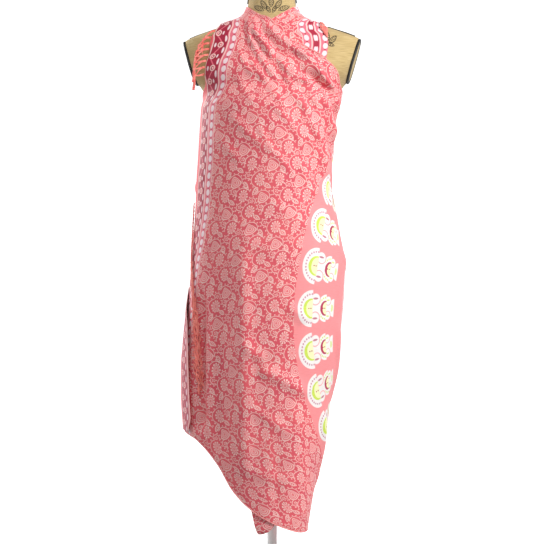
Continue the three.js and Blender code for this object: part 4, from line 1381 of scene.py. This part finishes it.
def turned_piece(name, profile, material, node, slot_name, stretch=1.0, shift=0.0):
    """A profile of (radius, height) points turned round the vertical axis."""
    form = bmesh.new()
    corners = [form.verts.new((radius, 0, height)) for radius, height in profile]
    edges = [form.edges.new(pair) for pair in zip(corners, corners[1:])]
    bmesh.ops.spin(form, geom=corners + edges, cent=(0, 0, 0), axis=(0, 0, 1), angle=math.tau, steps=96,
                   use_merge=True)
    bmesh.ops.remove_doubles(form, verts=form.verts, dist=1e-6)
    bmesh.ops.recalc_face_normals(form, faces=form.faces)
    bmesh.ops.scale(form, verts=form.verts, vec=(1, stretch, 1))
    bmesh.ops.translate(form, verts=form.verts, vec=(0, shift, 0))
    fit(link_mesh(form, name), material, slot_name, node)


cap_low = torso_high + clear
cap_profile = [
    (0, 0), (0.0478, 0), (0.0486, 0.0006), (0.0489, 0.0030), (0.0475, 0.0055), (0.0440, 0.0078),
    (0.034, 0.0088), (0, 0.009),
]
lid_profile = [(radius, height + cap_low) for radius, height in cap_profile]
turned_piece("neck_lid", lid_profile, wood, "neck_cap", "turned_wood", 1.04, 0.003)
collar_low = torso_low - clear - 0.030
collar_profile = [
    (0, 0), (0.0170, 0), (0.0182, 0.0012), (0.0200, 0.008), (0.0205, 0.012), (0.0222, 0.018),
    (0.0252, 0.0285), (0.0250, 0.030), (0, 0.030),
]
socket_profile = [(radius, height + collar_low) for radius, height in collar_profile]
turned_piece("pole_socket", socket_profile, wood, "pole_collar", "turned_wood")

# The stand: a steel pole on a flat round base, both powder-coated satin white. The coat has a faint
# orange-peel skin, and its white is painted patchily greyer low down, where the base meets the floor.
steel, tree, principled = new_material("white_steel", Roughness=0.4)
on_stand = object_place()
coat_patches = noise(on_stand, 34.0, 4.0)
low_down = ramp(add("SeparateXYZ", on_stand).node.outputs["Z"], 0.0, 0.012, 0.35, 0.0)
# Patches of the coat are painted greyer towards the bottom of the base.
coat = paint((0.93, 0.93, 0.92), (0.68, 0.67, 0.65), both(coat_patches, low_down))
feed("Base Color", coat)
feed("Roughness", ramp(coat_patches, 0.3, 0.7, 0.34, 0.46))
bumped(noise(on_stand, 700.0, 1.0), 0.15, 0.0002)
base_height = 0.015
pole_low = base_height + clear
pole_high = collar_low - clear
pole_profile = [
    (0, pole_low), (0.0106, pole_low), (0.011, pole_low + 0.0006), (0.011, pole_high - 0.0006),
    (0.0106, pole_high), (0, pole_high),
]
turned_piece("stand_pole", pole_profile, steel, "form_pole", "white_steel")
base_profile = [
    (0, 0), (0.1642, 0), (0.165, 0.0008), (0.165, 0.0052), (0.1642, 0.0066), (0.1605, 0.0098),
    (0.1575, 0.0111), (0.1400, 0.0119), (0.042, 0.0148), (0.038, 0.015), (0, 0.015),
]
turned_piece("stand_base", base_profile, steel, "form_base", "white_steel")
